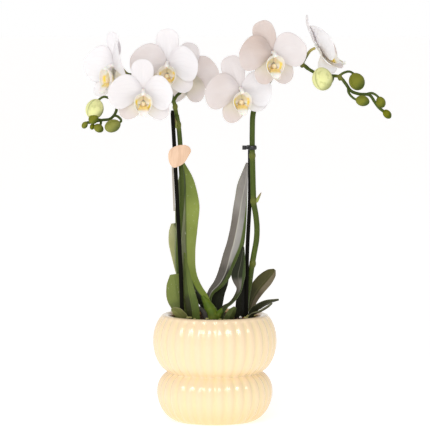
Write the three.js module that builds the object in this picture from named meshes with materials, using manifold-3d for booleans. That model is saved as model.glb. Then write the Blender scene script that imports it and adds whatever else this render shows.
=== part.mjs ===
// A white moth orchid with two arching flower spikes. It grows in a thin nursery pot of bark that stands
// inside a ribbed, cream-glazed ceramic pot with two stacked bulges. Millimetres, +Z up, front towards -Y.
// The origin is the middle of the flat foot that the pot stands on.
import * as THREE from 'three';
import { mergeVertices } from 'three/addons/utils/BufferGeometryUtils.js';
import Module from 'manifold-3d';

const wasm = await Module();
wasm.setup();

// ---------------------------------------------------------------- driving dimensions

const GAP = 0.3; // clearance between pieces that touch on the real plant
const SOCKET_GAP = 0.4; // clearance round a leaf or the root where it stands in the bark

const POT = {
  height: 106.5,
  ribs: 34,
  ribDepth: 1.6,
  facetsPerRib: 3,
  waistZ: 48.6,
  waistRadius: 47.6,
  upper: { z: 79.5, radius: 62, rise: 31.5, swell: 20.6 },
  lower: { z: 29, radius: 58, rise: 19.5, swell: 14, fall: 31.5, fallSwell: 28 },
  wallHeights: [0, 12, 24, 38, 48.6, 56, 70, 90],
  lipBase: 104,
  lipRadius: 50,
  mouthRadius: 45.4,
  floor: 6,
};
const CAVITY = [[0, POT.floor], [36, POT.floor], [49, 18], [50.5, 33], [43.2, POT.waistZ], [54.5, 68],
  [55, 86], [POT.mouthRadius, 102], [POT.mouthRadius, 105], [POT.mouthRadius + 2, POT.height + 1],
  [0, POT.height + 1]];

const NURSERY = { topZ: 99.5, bottomZ: POT.floor + GAP, topRadius: 43.2, bottomRadius: 33, wall: 1.2, rim: 1.2 };
const BARK = { topZ: 99.5, chips: 9, sides: 20, rimMargin: 12.6 };
const CHIP = { least: [8.4, 5.6, 3.5], spread: [14, 7, 4.2], rough: [1.6, 1.6, 1.2], lean: 0.9 };

const BLADE = { leaf: 1.5, leafEdge: 0.8, petal: 1.0, petalEdge: 0.6 };

const STAKE_RADIUS = 2;
const STAKES = {
  stake_left: [[-32.5, -15, 76], [-32.5, -15, 104], [-34.5, -13, 162], [-37, -12, 212], [-40, -10, 271.5],
    [-42.2, -9, 311]],
  stake_right: [[31.4, -2, 70], [31.4, -2, 102], [32.6, 2, 171], [35, 5.6, 221], [35.1, 6.2, 279]],
};

// Each stem is a run of [radius, route] stretches, from the bark to the tip.
const SPIKE_LEFT = {
  stretches: [
    [2.55, [[-28, 3, 88], [-32, 2, 120], [-35, 0, 140], [-36.5, 0, 159], [-36.5, 0, 176], [-35.5, -1, 189],
      [-34, -2, 206], [-33, -3, 221], [-33, -3.5, 241], [-34, -4, 261], [-34.5, -4, 277], [-36, -4, 294],
      [-38, -3, 306]]],
    [2.0, [[-38, -3, 305], [-39.5, -2, 314], [-41, -1, 320], [-44, 1, 327], [-49, 4, 335], [-57, 6, 342],
      [-68, 6, 348], [-78.5, 3, 348]]],
    [1.5, [[-77, 3, 348], [-81, 2, 344], [-84.5, -1, 336], [-90, -6, 326], [-96, -10, 316.5], [-99, -12, 307.5],
      [-104, -12, 302.5], [-111, -12, 301.5], [-117, -12, 300.5], [-123, -12, 299], [-127, -12, 299]]],
  ],
  nodes: [[-36.3, -4, 296, 3], [-39.5, -2, 314, 2.7], [-49, 4, 335, 2.5], [-78, 3, 348, 2.4]],
};
const SPIKE_RIGHT = {
  stretches: [
    [2.85, [[27, 9, 84], [30, 8, 102], [32, 7, 120], [34.5, 6, 135], [36.6, 5, 150.6], [39, 4, 165], [41.7, 2, 181],
      [42.2, 1, 193], [41, 0, 206], [39, 0, 218], [38.4, 0, 231], [37.9, 0, 251], [37.4, 0, 274], [37.4, 0, 291],
      [38, 0, 306], [41, 2, 318]]],
    [2.0, [[40.5, 2, 317], [47, 4, 329], [53, 5, 337], [59, 5, 345], [68, 6, 352.5], [78, 5, 357.5],
      [87, 3, 356.5], [93, 2, 352]]],
    [1.6, [[92, 2, 352.6], [99.5, 2, 348.3], [108.5, 2, 345.4], [117.3, 1, 345], [124.3, -1, 344], [130, -3, 337.5],
      [135.5, -5, 330], [144, -5, 327], [154, -5, 326], [158.7, -5, 319.6], [163.2, -5, 313.6], [168, -5, 309.7]]],
  ],
  nodes: [[37.4, 0, 265.4, 3.4], [38.8, 0, 220, 3.4], [38, 4.5, 157, 3.4], [87, 3, 356.5, 2.5],
    [124.5, -1, 343.5, 2.3]],
};

// A bract is a small pointed scale on a joint of the stem: foot, tip, half-width at the foot.
const BRACTS = {
  spike_left: [[[-37.2, -6, 293], [-39.8, -7, 303], 2.2]],
  spike_right: [[[41, -1.5, 218.5], [46.4, -2, 229], 1.9]],
};

// A bud is an egg: centre, direction of its long axis, half-length, half-width, and its stalk's route.
const PEDICEL = { bloom: 1.5, bud: 1.2 };
const BUDS = {
  spike_left: [
    { at: [-119, -15, 312.5], axis: [0.35, 0, 0.95], long: 10.3, wide: 9,
      stalk: [[-97.5, -11.5, 315.5], [-103, -13, 322], [-110, -14, 324.5], [-116.5, -15, 320.5]] },
    { at: [-101, -21, 296], axis: [0.9, 0, 0.35], long: 8.2, wide: 6.4,
      stalk: [[-100, -12, 306], [-96, -16, 305], [-92.5, -19, 301], [-96, -21, 298]] },
    { at: [-120, -19, 303], axis: [0.5, 0, 0.85], long: 5.6, wide: 4.9,
      stalk: [[-113, -12, 301.5], [-117, -16, 302.5], [-119, -18, 303]] },
    { at: [-115, -17, 293.5], axis: [0.8, 0, -0.5], long: 5.2, wide: 4.2,
      stalk: [[-113, -12, 301.5], [-113, -14.5, 298], [-114.5, -17, 295]] },
    { at: [-121.5, -13, 295], axis: [0.3, 0, 0.95], long: 3.2, wide: 2.5,
      stalk: [[-120, -12, 299.5], [-121, -12.5, 297.5], [-121.5, -13, 296]] },
    { at: [-129, -12.5, 296.5], axis: [0.5, 0, 0.85], long: 3.8, wide: 3,
      stalk: [[-126, -12, 299], [-127.5, -12, 298.5], [-128.5, -12.5, 297.5]] },
  ],
  spike_right: [
    { at: [106, -25, 342.5], axis: [-0.25, 0, 0.95], long: 11.6, wide: 10.2,
      stalk: [[118, 1, 345], [117, -8, 341.5], [114.5, -18, 338.5], [111.5, -23, 337]] },
    { at: [141, -7, 339.5], axis: [-0.45, 0, 0.88], long: 9, wide: 7.9,
      stalk: [[123.5, -1, 344.5], [128, -3, 348], [134, -5, 349.3], [139, -6.5, 346.5]] },
    { at: [146.5, -13, 320.5], axis: [0.95, 0, -0.2], long: 7, wide: 5.4,
      stalk: [[132.5, -4, 334], [133, -8, 328.5], [137, -11, 323.5], [141.5, -13, 321]] },
    { at: [165, -7, 319], axis: [-0.4, 0, 0.9], long: 5.9, wide: 4.7,
      stalk: [[151, -5, 327], [156, -6, 328], [161, -7, 325.5], [164, -7, 322]] },
    { at: [171.5, -5, 307], axis: [0.65, 0, -0.75], long: 5.2, wide: 3.9,
      stalk: [[166, -5, 311.5], [168.5, -5, 309.5], [170.5, -5, 308]] },
  ],
};

// A leaf is a run of stations [x, y, z, half-width, turn in degrees]; fold is how far each half rises from flat.
const LEAVES = {
  leaf_left_main: { fold: 34, stations: [[-6, -3, 96, 4, 0], [-10, -2, 119, 7, 5], [-19, 0, 132, 10, 12],
    [-26.8, 5, 149, 12.5, 17], [-28.7, 8, 170.5, 13, 12], [-29, 9, 195.5, 13.5, -8], [-29, 9, 220.5, 13, -30],
    [-29, 9, 240.5, 8, -34], [-32, 10, 258.5, 1.2, -34]] },
  leaf_left_rear: { fold: 18, stations: [[-20, 27, 94, 4, 20], [-26, 28, 128.5, 6, 35], [-32, 28, 169, 7, 50],
    [-34.5, 28, 204.5, 7, 55], [-34.5, 28, 230, 5, 55], [-34.5, 28, 246, 1.2, 55]] },
  leaf_left_pale: { fold: 10, stations: [[-24, 17, 95, 4, 0], [-27.5, 19, 119.5, 7, 5],
    [-30.5, 21, 139.5, 7.4, 8], [-35, 21, 158, 7.6, 10], [-39.3, 22, 176, 7.4, 10], [-41, 21.5, 188.5, 5.5, 10],
    [-42, 21, 196, 2.2, 10]] },
  leaf_left_broad: { fold: 8, stations: [[-30, -8, 95, 6, 0], [-34, -8.5, 113.5, 9, 2],
    [-37.5, -8.5, 125.5, 11, 4], [-39, -8.5, 137.5, 9.5, 4], [-40.5, -8.5, 147.5, 4.5, 2]] },
  leaf_left_inner: { fold: 12, stations: [[-20, -15, 95, 6, 0], [-21.8, -16, 114, 6.5, 0],
    [-24.5, -14, 127, 6, 5], [-27, -10, 141.5, 4.5, 15], [-29, -7, 156.5, 2.5, 25],
    [-30.5, -6, 169, 0.8, 25]] },
  leaf_left_small: { fold: 6, stations: [[-28.5, -20.5, 95, 4.5, 0], [-31, -22, 104, 5, 0],
    [-36.5, -25, 111, 5, 0], [-42.5, -27, 115, 2.2, 0]] },
  leaf_right_tall: { fold: 30, stations: [[-2, 8, 96, 4.5, 0], [-6.5, 8.5, 116, 3.6, 0],
    [-3.8, 8, 127.4, 3.8, 5], [4.4, 8, 135.6, 6.4, 8], [10.2, 8, 146, 8, 6], [13.4, 8, 155.8, 8.7, -1],
    [16, 8.5, 166, 10.3, -16], [19, 9, 176, 10.8, -20], [22.6, 10, 193, 9.3, -14], [25.4, 11.5, 210, 8.1, 3],
    [27.5, 12, 223, 7.3, 18], [30.7, 13, 240, 6.8, 42], [32.8, 13, 258, 1.4, 48]] },
  leaf_right_dark: { fold: 12, stations: [[2, 17, 95, 5, 10], [1.5, 18, 112, 6.5, 10], [4, 19, 124, 6.5, 15],
    [9, 20, 135, 5, 15], [14, 20, 146, 1, 15]] },
  leaf_right_arching: { fold: 14, stations: [[4, -7, 95, 3, 0], [8, -8, 113, 3.2, -40],
    [15.5, -9, 118.5, 2.6, -50], [21, -9, 125, 2.4, -30], [24.4, -9, 133, 3, -20], [23.6, -8.5, 141, 6.2, -8],
    [23.4, -8, 147, 7.4, -4], [25.4, -7, 156, 5.6, 0], [27.2, -6, 166, 3.2, 3], [28.4, -5, 175, 1, 5]] },
  leaf_right_stub: { fold: 16, stations: [[12.5, -17, 95, 4, 10], [14.5, -18, 105, 5, 10],
    [17.5, -18, 111, 4, 10], [20.5, -18, 115.5, 1.6, 10]] },
  leaf_right_short: { fold: 14, stations: [[23, 1, 95, 4, 10], [25, 1, 108, 5, 10], [26, 1.2, 119, 5, 10],
    [27, 1.5, 130, 4.2, 10], [28.5, 2, 141, 2.6, 10], [29.5, 2, 152, 1, 10]] },
  leaf_right_spread: { fold: 12, stations: [[32, 14, 94, 4, 25], [36, 15, 116, 6.6, 20],
    [43.5, 16, 130, 8.2, 15], [51.5, 17, 139.5, 8, 10], [57.5, 18, 146, 5.5, 8], [60.5, 18, 149.5, 1.2, 5]] },
  leaf_right_narrow: { fold: 14, stations: [[34, -10, 96, 2.5, 24], [38, -11, 110, 3.8, 22],
    [45, -12, 115.5, 4.4, 18], [53, -13, 119.5, 3.6, 16], [64, -14, 122.5, 0.9, 16]] },
  leaf_right_low: { fold: 12, stations: [[31, -20, 96, 2.4, 20], [37.5, -21, 108, 3.2, 45],
    [45.5, -22, 111.5, 3.8, 60], [52, -23, 115.5, 3, 60], [57, -24, 120, 0.9, 60]] },
};

const CROWN = { at: [-2, -3, 108.5], axis: [-0.5, 0, 0.87], long: 15.5, wide: 7.8 };
const ROOT = { radius: 2.6, knob: 3.4,
  route: [[-8, -9.5, 96], [-9.5, -9.5, 105], [-12.5, -9.5, 111], [-16, -9, 112.5], [-18.5, -8.5, 108.5]] };

// The wooden pick: its outline's corners as [x, z], softened by a closed spline, and the stick that it stands on.
const TAG = { frontY: -14.2, thickness: 1.6,
  outline: [[-42.6, 273.8], [-34.1, 276.8], [-26.3, 275.6], [-23.6, 271.1], [-26.3, 265.4], [-30.6, 258.7],
    [-36.5, 255.2], [-40.8, 254.3], [-44.4, 257.5], [-46.2, 264.2], [-45.6, 270.1]],
  stick: { top: [-42.2, 262], bottom: [-40.3, 211], frontY: -13.6, width: 1.8, thickness: 1.5 } };
const CLIP = { z: 273.5, height: 4.2, wall: 1.4, arm: 3, stem: [37.4, 0], stemRadius: 2.85, stake: [35.1, 6.2],
  knob: [29.5, -0.5], knobRadius: 2.2 };

// Tepals of a bloom: length, width, where its upper and lower edges are widest and how blunt they are, how narrow
// its foot is, forward tilt at the foot, curve along the length and lift of its edges.
const TEPALS = {
  dorsal: { length: 31.5, width: 23.5, upper: [0.62, 0.72], lower: [0.62, 0.72], foot: 0.34, tilt: -3, curve: -6,
    cup: 0.06, behind: 1, facets: [4, 2] },
  petal: { length: 33, width: 36, upper: [0.45, 0.66], lower: [0.66, 0.98], foot: 0.22, tilt: 4, curve: 8,
    cup: -0.04, behind: 0, facets: [4, 4] },
  lateral: { length: 34, width: 23, upper: [0.56, 0.72], lower: [0.56, 0.72], foot: 0.36, tilt: -2, curve: -6,
    cup: 0.06, behind: 1, facets: [4, 2] },
};
const LAYER_DEPTH = 1.6; // sepals lie behind the petals by this much
const HUB_RADIUS = 3;
const COLUMN = { at: [0, 0.5, 4.5], axis: [0, -0.25, 1], long: 5, wide: 2.5 };
const TEPAL_EDGE = { rise: 0.9, least: 0.1 };
const TEPAL_ROLL = { start: 0.38, end: 0.8 };

// The lip, in its bloom's frame: routes of a right side lobe and of the middle lobe, with their half-widths.
const LIP = {
  side: { route: [[2, -17, 5.4], [8, -14.5, 7.4], [8.5, -8, 7.8], [5, -3.5, 9]], half: 3, thickness: 1 },
  middle: { route: [[0, -2.9, 2.2], [0, -9.5, 4.6], [0, -16.5, 7.4], [0, -23.2, 10.4]], half: 6.4, lift: 1.6,
    thickness: 1.1, edge: 0.8 },
};

// Every bloom: its middle, the way it faces (yaw to the right, pitch down) and its size. Then for its upper sepal,
// left and right petal, left and right lower sepal: the direction round the face in degrees (90 is up), how much it
// outgrows the others, how far it bends forward and how far it is rolled about its own length.
const BLOOMS = {
  left_first: { at: [-26.8, 24, 347.5], yaw: 160, pitch: 4, size: 0.95, angles: [97, 178, 2, 242, 298],
    reach: [1, 1, 1, 1, 1], sweep: [-4, -4, -4, -4, -4], roll: [0, 0, 0, 0, 0] },
  left_second: { at: [-47, -16, 357.5], yaw: -4, pitch: 2, size: 1, angles: [90, 172, 0, 230, 308],
    reach: [1.06, 1.1, 0.92, 1, 1], sweep: [0, 0, 0, 0, 0], roll: [0, 0, 0, 0, 0] },
  left_third: { at: [-70, -46, 331], yaw: 2, pitch: 4, size: 0.96, angles: [92, 181, -5, 232, 310],
    reach: [1, 1.08, 0.9, 1, 1.05], sweep: [0, 0, 0, 0, 0], roll: [0, 0, 0, 0, 0] },
  left_fourth: { at: [-101.3, 0, 354], yaw: -55, pitch: 0, size: 1.08, angles: [90, 172, 24, 230, 296],
    reach: [1, 1, 1, 1, 0.92], sweep: [11, 14, 13, 18, 18], roll: [0, 0, 0, 0, 0] },
  right_first: { at: [25.4, -22, 332], yaw: 14, pitch: 4, size: 1, angles: [110, 184, 2, 254, 327],
    reach: [1.08, 1.13, 0.93, 1, 0.95], sweep: [0, 0, 0, 0, 0], roll: [0, 0, 0, 0, 0] },
  right_second: { at: [56.8, -38, 368], yaw: 18, pitch: 3, size: 1, angles: [113, 179, 11, 252, 303],
    reach: [1.04, 1.09, 1.01, 0.92, 1], sweep: [0, 0, 0, 0, 0], roll: [0, 0, 0, 0, 0] },
  right_third: { at: [103.6, 8, 374.5], yaw: 94, pitch: -29, size: 1.16, angles: [90, 172, -14, 236, 300],
    reach: [0.9, 0.95, 0.92, 0.87, 0.92], sweep: [17, 9, 21, 0, 30], roll: [0, 0, 0, 52, 0] },
};
const BLOOM_STALKS = {
  spike_left: {
    left_first: [[-41, -1, 320], [-38, 3, 325], [-33, 8, 330]],
    left_second: [[-50, 4, 336], [-48, 2, 344], [-47.6, -3, 353]],
    left_third: [[-42, -1, 320], [-52, -14, 319], [-64, -28, 324]],
    left_fourth: [[-79, 3, 347.5], [-84, 3.5, 346], [-88, 3, 347.4]],
  },
  spike_right: {
    right_first: [[41, 2, 318], [36, -6, 324], [30, -13, 331]],
    right_second: [[68, 6, 352.5], [64, -8, 356], [60, -24, 363]],
    right_third: [[87, 3, 356.5], [90.5, 5.5, 363]],
  },
};

const COLOURS = {
  glaze: 0xf6dfb4, plastic: 0x3c3a38, bark: 0x6b4326, leaf: 0x7d9650, leafPale: 0xa9b488,
  stem: 0x6f8a44, petal: 0xf4eff2, lip: 0xe9b53c, stake: 0x3f3b3e, clip: 0x171716, tag: 0xe9c9a4, root: 0x4b4743,
};

// ---------------------------------------------------------------- solids

/** Vertices and triangles of a closed geometry, with shared corners merged and empty triangles dropped. */
function closedMesh(geometry) {
  const bare = geometry.clone();
  bare.deleteAttribute('normal');
  bare.deleteAttribute('uv');
  const merged = mergeVertices(bare, 1e-4);
  const corners = merged.index.array;
  const triangles = [];
  for (let i = 0; i < corners.length; i += 3) {
    const [a, b, c] = [corners[i], corners[i + 1], corners[i + 2]];
    if (a !== b && b !== c && c !== a) triangles.push(a, b, c);
  }
  return { vertices: merged.attributes.position.array, triangles };
}

function signedVolume({ vertices, triangles }) {
  const corner = (i) => new THREE.Vector3().fromArray(vertices, 3 * triangles[i]);
  let volume = 0;
  for (let i = 0; i < triangles.length; i += 3) {
    volume += corner(i).dot(corner(i + 1).cross(corner(i + 2))) / 6;
  }
  return volume;
}

function solidOf(geometry) {
  const mesh = closedMesh(geometry);
  if (signedVolume(mesh) < 0) mesh.triangles.reverse();
  return new wasm.Manifold(new wasm.Mesh({
    numProp: 3,
    vertProperties: Float32Array.from(mesh.vertices),
    triVerts: Uint32Array.from(mesh.triangles),
  }));
}

function geometryOf(solid) {
  const mesh = solid.getMesh();
  const geometry = new THREE.BufferGeometry();
  geometry.setAttribute('position', new THREE.BufferAttribute(Float32Array.from(mesh.vertProperties), 3));
  geometry.setIndex([...mesh.triVerts]);
  const shaded = geometry.toNonIndexed();
  shaded.computeVertexNormals();
  return shaded;
}

function fuse(geometries) {
  const solids = geometries.map(solidOf);
  return solids.reduce((whole, piece) => whole.add(piece));
}

/** Only the largest separate body of a solid, so that no loose scrap of a cut stays. */
function largestBody(solid) {
  return solid.decompose().reduce((best, body) => (body.volume() > best.volume() ? body : best));
}

function named(name, geometry, colour, roughness = 0.5) {
  const mesh = new THREE.Mesh(geometry, new THREE.MeshStandardMaterial({ color: colour, roughness, metalness: 0 }));
  mesh.name = name;
  return mesh;
}

// ---------------------------------------------------------------- shapes

const radians = THREE.MathUtils.degToRad;
const point = (xyz) => new THREE.Vector3(...xyz);

/** A round solid about Z from a profile of [radius, z] that starts and ends on the axis or closes on itself. */
function turned(profile, segments) {
  const geometry = new THREE.LatheGeometry(profile.map(([r, z]) => new THREE.Vector2(r, z)), segments);
  return geometry.rotateX(Math.PI / 2);
}

/** A round bar of one radius along a route of points. */
function bar(route, radius, sides = 6, stepLength = 16) {
  const path = new THREE.CatmullRomCurve3(route.map(point), false, 'centripetal');
  const section = new THREE.Shape();
  section.absarc(0, 0, radius, 0, 2 * Math.PI);
  const steps = Math.max(2, Math.round(path.getLength() / stepLength));
  return new THREE.ExtrudeGeometry(section, { steps, curveSegments: sides / 2, extrudePath: path, bevelEnabled: false });
}

/** An egg of the given half-length and half-width, with its long axis turned to a direction. */
function egg(at, axis, long, wide, sides = 7, rings = 5) {
  const geometry = new THREE.SphereGeometry(1, sides, rings).scale(wide, long, wide);
  const turn = new THREE.Quaternion().setFromUnitVectors(new THREE.Vector3(0, 1, 0), point(axis).normalize());
  return geometry.applyQuaternion(turn).translate(...at);
}

/**
 * A thin closed blade over a surface(along, across), along 0..1 and across -1..1. Both faces are split into the same
 * triangles, and the thickness falls from the middle to the edge.
 */
function blade(surface, rows, columns, thickness, edge) {
  const grid = [];
  for (let i = 0; i <= rows; i += 1) {
    const line = [];
    for (let j = 0; j <= columns; j += 1) line.push(surface(i / rows, (2 * j) / columns - 1));
    grid.push(line);
  }
  const at = (i, j) => grid[THREE.MathUtils.clamp(i, 0, rows)][THREE.MathUtils.clamp(j, 0, columns)];
  const side = (rows + 1) * (columns + 1);
  const positions = new Float32Array(2 * side * 3);
  const index = (face, i, j) => face * side + i * (columns + 1) + j;
  for (let i = 0; i <= rows; i += 1) {
    for (let j = 0; j <= columns; j += 1) {
      const along = at(i + 1, j).clone().sub(at(i - 1, j));
      const across = at(i, j + 1).clone().sub(at(i, j - 1));
      const normal = along.cross(across).normalize();
      const margin = Math.abs((2 * j) / columns - 1);
      const half = THREE.MathUtils.lerp(thickness, edge, margin ** 2) / 2;
      at(i, j).clone().addScaledVector(normal, half).toArray(positions, 3 * index(0, i, j));
      at(i, j).clone().addScaledVector(normal, -half).toArray(positions, 3 * index(1, i, j));
    }
  }
  const triangles = [];
  const quad = (a, b, c, d) => triangles.push(a, b, c, a, c, d);
  for (let i = 0; i < rows; i += 1) {
    for (let j = 0; j < columns; j += 1) {
      quad(index(0, i, j), index(0, i + 1, j), index(0, i + 1, j + 1), index(0, i, j + 1));
      const back = [index(1, i, j), index(1, i + 1, j), index(1, i + 1, j + 1), index(1, i, j + 1)];
      triangles.push(back[0], back[2], back[1], back[0], back[3], back[2]);
    }
  }
  for (let i = 0; i < rows; i += 1) {
    quad(index(0, i, 0), index(1, i, 0), index(1, i + 1, 0), index(0, i + 1, 0));
    quad(index(0, i + 1, columns), index(1, i + 1, columns), index(1, i, columns), index(0, i, columns));
  }
  for (let j = 0; j < columns; j += 1) {
    quad(index(0, 0, j), index(0, 0, j + 1), index(1, 0, j + 1), index(1, 0, j));
    quad(index(1, rows, j), index(1, rows, j + 1), index(0, rows, j + 1), index(0, rows, j));
  }
  const geometry = new THREE.BufferGeometry();
  geometry.setAttribute('position', new THREE.BufferAttribute(positions, 3));
  geometry.setIndex(triangles);
  return geometry;
}

// ---------------------------------------------------------------- pot, nursery pot and bark

function bulgeRadius(z, centre, radius, rise, swell) {
  const reach = Math.min(1, Math.abs(z - centre) / rise);
  return radius - swell * (1 - Math.sqrt(1 - reach ** 2));
}

/** Radius of the pot over its rib crests: two elliptical bulges that meet in a sharp waist. */
function crestRadius(z) {
  const { upper, lower } = POT;
  if (z > POT.waistZ) return Math.max(POT.waistRadius, bulgeRadius(z, upper.z, upper.radius, upper.rise, upper.swell));
  const [rise, swell] = z > lower.z ? [lower.rise, lower.swell] : [lower.fall, lower.fallSwell];
  return Math.max(z > lower.z ? POT.waistRadius : 0, bulgeRadius(z, lower.z, lower.radius, rise, swell));
}

/** How far a rib's groove is cut at a height: full on the bulges, shallow at the foot, none at the lip. */
function grooveDepth(z) {
  const towardsLip = THREE.MathUtils.smoothstep(POT.height - z, 0.5, 5);
  const towardsFoot = THREE.MathUtils.lerp(0.55, 1, THREE.MathUtils.smoothstep(z, 0, 8));
  return POT.ribDepth * towardsLip * towardsFoot;
}

function ribbedPot() {
  const wall = [...POT.wallHeights, POT.lipBase].map((z) => [crestRadius(z), z]);
  const profile = [[0, 0], ...wall, [POT.lipRadius, POT.height], [0, POT.height]];
  const outside = turned(profile, POT.ribs * POT.facetsPerRib);
  const places = outside.attributes.position;
  for (let i = 0; i < places.count; i += 1) {
    const [x, y, z] = [places.getX(i), places.getY(i), places.getZ(i)];
    const radius = Math.hypot(x, y);
    const fromFront = Math.atan2(x, -y);
    const cut = grooveDepth(z) * (1 + Math.cos(POT.ribs * fromFront)) / 2;
    const scale = radius > 1 ? (radius - cut) / radius : 1;
    places.setXY(i, x * scale, y * scale);
  }
  return geometryOf(solidOf(outside).subtract(solidOf(turned(CAVITY, BARK.sides))));
}

function nurseryPot() {
  const { topZ, bottomZ, topRadius, bottomRadius, wall, rim } = NURSERY;
  const profile = [[0, bottomZ], [bottomRadius, bottomZ], [topRadius, topZ - 4], [topRadius + rim, topZ - 3.6],
    [topRadius + rim, topZ], [topRadius - wall, topZ], [bottomRadius - wall, bottomZ + wall], [0, bottomZ + wall]];
  return turned(profile, BARK.sides);
}

/** Seeded draws between 0 and 1, the same each time. */
function seeded(seed) {
  const [factor, step, range] = [1664525, 1013904223, 2 ** 32];
  let state = seed;
  return () => {
    state = (state * factor + step) % range;
    return state / range;
  };
}

/** One split flake of bark, a box with its corners pulled about. */
function chip(draw, at) {
  const [long, wide, tall] = CHIP.least.map((least, i) => least + CHIP.spread[i] * draw());
  const box = new THREE.BoxGeometry(long, wide, tall);
  const flake = mergeVertices(box.deleteAttribute('normal').deleteAttribute('uv'));
  const corners = flake.attributes.position;
  for (let i = 0; i < corners.count; i += 1) {
    const corner = new THREE.Vector3().fromBufferAttribute(corners, i);
    const [x, y, z] = corner.toArray().map((place, k) => place + CHIP.rough[k] * (draw() - 0.5));
    corners.setXYZ(i, x, y, z);
  }
  flake.rotateX(CHIP.lean * (draw() - 0.5));
  flake.rotateY(CHIP.lean * (draw() - 0.5));
  flake.rotateZ(2 * Math.PI * draw());
  return flake.translate(...at);
}

/** The bark in the nursery pot, with chips all over its top and a plain hole for all that stands in it. */
function barkBed(sockets) {
  const { topZ, bottomZ, topRadius, bottomRadius, wall } = NURSERY;
  const clear = wall + GAP;
  const bed = solidOf(turned([[0, bottomZ + clear], [bottomRadius - clear, bottomZ + clear],
    [topRadius - clear - 0.2, BARK.topZ - 2], [0, BARK.topZ - 1]], BARK.sides));
  const draw = seeded(11);
  const goldenTurn = Math.PI * (3 - Math.sqrt(5));
  const spread = topRadius - clear - BARK.rimMargin;
  let whole = bed;
  for (let i = 0; i < BARK.chips; i += 1) {
    const radius = spread * Math.sqrt((i + 0.5) / BARK.chips);
    const at = [radius * Math.cos(i * goldenTurn), radius * Math.sin(i * goldenTurn), BARK.topZ - 1 + 1.6 * draw()];
    whole = whole.add(solidOf(chip(draw, at)));
  }
  for (const socket of sockets) whole = whole.subtract(socket);
  return largestBody(whole);
}

// ---------------------------------------------------------------- leaves, crown and root

/** Middle surface of a leaf: a keel through its stations, with two halves that rise from it. */
function leafSurface({ stations, fold }, wider = 0) {
  const keel = new THREE.CatmullRomCurve3(stations.map(([x, y, z]) => new THREE.Vector3(x, y, z)));
  const shape = new THREE.CatmullRomCurve3(stations.map(([, , , half, turn]) => new THREE.Vector3(half, turn, 0)));
  const rise = radians(fold);
  return (along, across) => {
    const middle = keel.getPoint(along);
    const tangent = keel.getTangent(along);
    const { x: half, y: turn } = shape.getPoint(along);
    const side = new THREE.Vector3(Math.cos(radians(turn)), Math.sin(radians(turn)), 0);
    side.addScaledVector(tangent, -side.dot(tangent)).normalize();
    const up = new THREE.Vector3().crossVectors(side, tangent).negate();
    const reach = Math.max(half, 0.5) + wider;
    const lift = Math.sin(rise) * Math.abs(across) ** 1.3;
    return middle.addScaledVector(side, across * reach * Math.cos(rise)).addScaledVector(up, reach * lift);
  };
}

/** A leaf as a solid, or the space that it needs when clear is how far that space lies outside it. */
function leafBlade(leaf, clear = 0) {
  const surface = leafSurface(leaf, clear);
  const rows = leaf.stations.length;
  const lowered = (along, across) => surface(along, across).add(new THREE.Vector3(0, 0, along < 0.01 ? -clear : 0));
  return blade(lowered, rows, 4, BLADE.leaf + 2 * clear, BLADE.leafEdge + 2 * clear);
}

function crownBody(extra = 0) {
  return solidOf(egg(CROWN.at, CROWN.axis, CROWN.long + extra, CROWN.wide + extra, 10, 6));
}

function aerialRoot(extra = 0) {
  const route = ROOT.route.map(([x, y, z], i) => [x, y, i === 0 ? z - extra : z]);
  const tip = route[route.length - 1];
  return fuse([bar(route, ROOT.radius + extra, 6, 5), egg(tip, [0, 0, 1], ROOT.knob + extra, ROOT.knob + extra)]);
}

// ---------------------------------------------------------------- flower spikes

function bract([foot, tip, half]) {
  const surface = (along, across) => {
    const middle = point(foot).lerp(point(tip), along);
    const reach = half * (1 - 0.85 * along ** 1.5);
    return middle.add(new THREE.Vector3(across * reach, 1.6 * across ** 2 * (1 - along), 0));
  };
  return blade(surface, 3, 2, 1.2, 0.7);
}

/** Frame of a bloom: its face looks along local +Z and its upper sepal along local +Y. */
function bloomFrame({ at, yaw, pitch, size }) {
  const upright = new THREE.Matrix4().makeBasis(
    new THREE.Vector3(1, 0, 0), new THREE.Vector3(0, 0, 1), new THREE.Vector3(0, -1, 0));
  const turn = new THREE.Matrix4().makeRotationZ(radians(yaw));
  const nod = new THREE.Matrix4().makeRotationX(radians(pitch));
  return turn.multiply(nod).multiply(upright).scale(new THREE.Vector3(size, size, size)).setPosition(...at);
}

/** A flower stalk from the stem to just short of the back of its bloom. */
function bloomStalk(route, bloom) {
  const frame = bloomFrame(bloom);
  const end = new THREE.Vector3(0, 0, -HUB_RADIUS - GAP).applyMatrix4(frame);
  const before = new THREE.Vector3(0, 0, -HUB_RADIUS - 5).applyMatrix4(frame);
  return bar([...route, before.toArray(), end.toArray()], PEDICEL.bloom, 6, 12);
}

function spike(name, { stretches, nodes }) {
  const pieces = stretches.map(([radius, route]) => bar(route, radius));
  for (const [x, y, z, radius] of nodes) pieces.push(egg([x, y, z], [0, 0, 1], radius * 1.3, radius, 6, 3));
  for (const scale of BRACTS[name]) pieces.push(bract(scale));
  for (const bud of BUDS[name]) {
    pieces.push(egg(bud.at, bud.axis, bud.long, bud.wide), bar(bud.stalk, PEDICEL.bud, 6, 10));
  }
  for (const [bloom, route] of Object.entries(BLOOM_STALKS[name])) pieces.push(bloomStalk(route, BLOOMS[bloom]));
  return fuse(pieces);
}

// ---------------------------------------------------------------- blooms

/** Half-width share of a tepal at one edge: a narrow foot, a round shoulder and a blunt tip. */
function tepalOutline(along, [widest, bluntness], foot) {
  const { rise, least } = TEPAL_EDGE;
  const fall = (rise * (1 - widest)) / widest;
  const peak = widest ** rise * (1 - widest) ** fall;
  const lobe = (along ** rise * (1 - along) ** fall) / peak;
  return Math.max(lobe ** bluntness, foot * (1 - along) ** 2, least);
}

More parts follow.
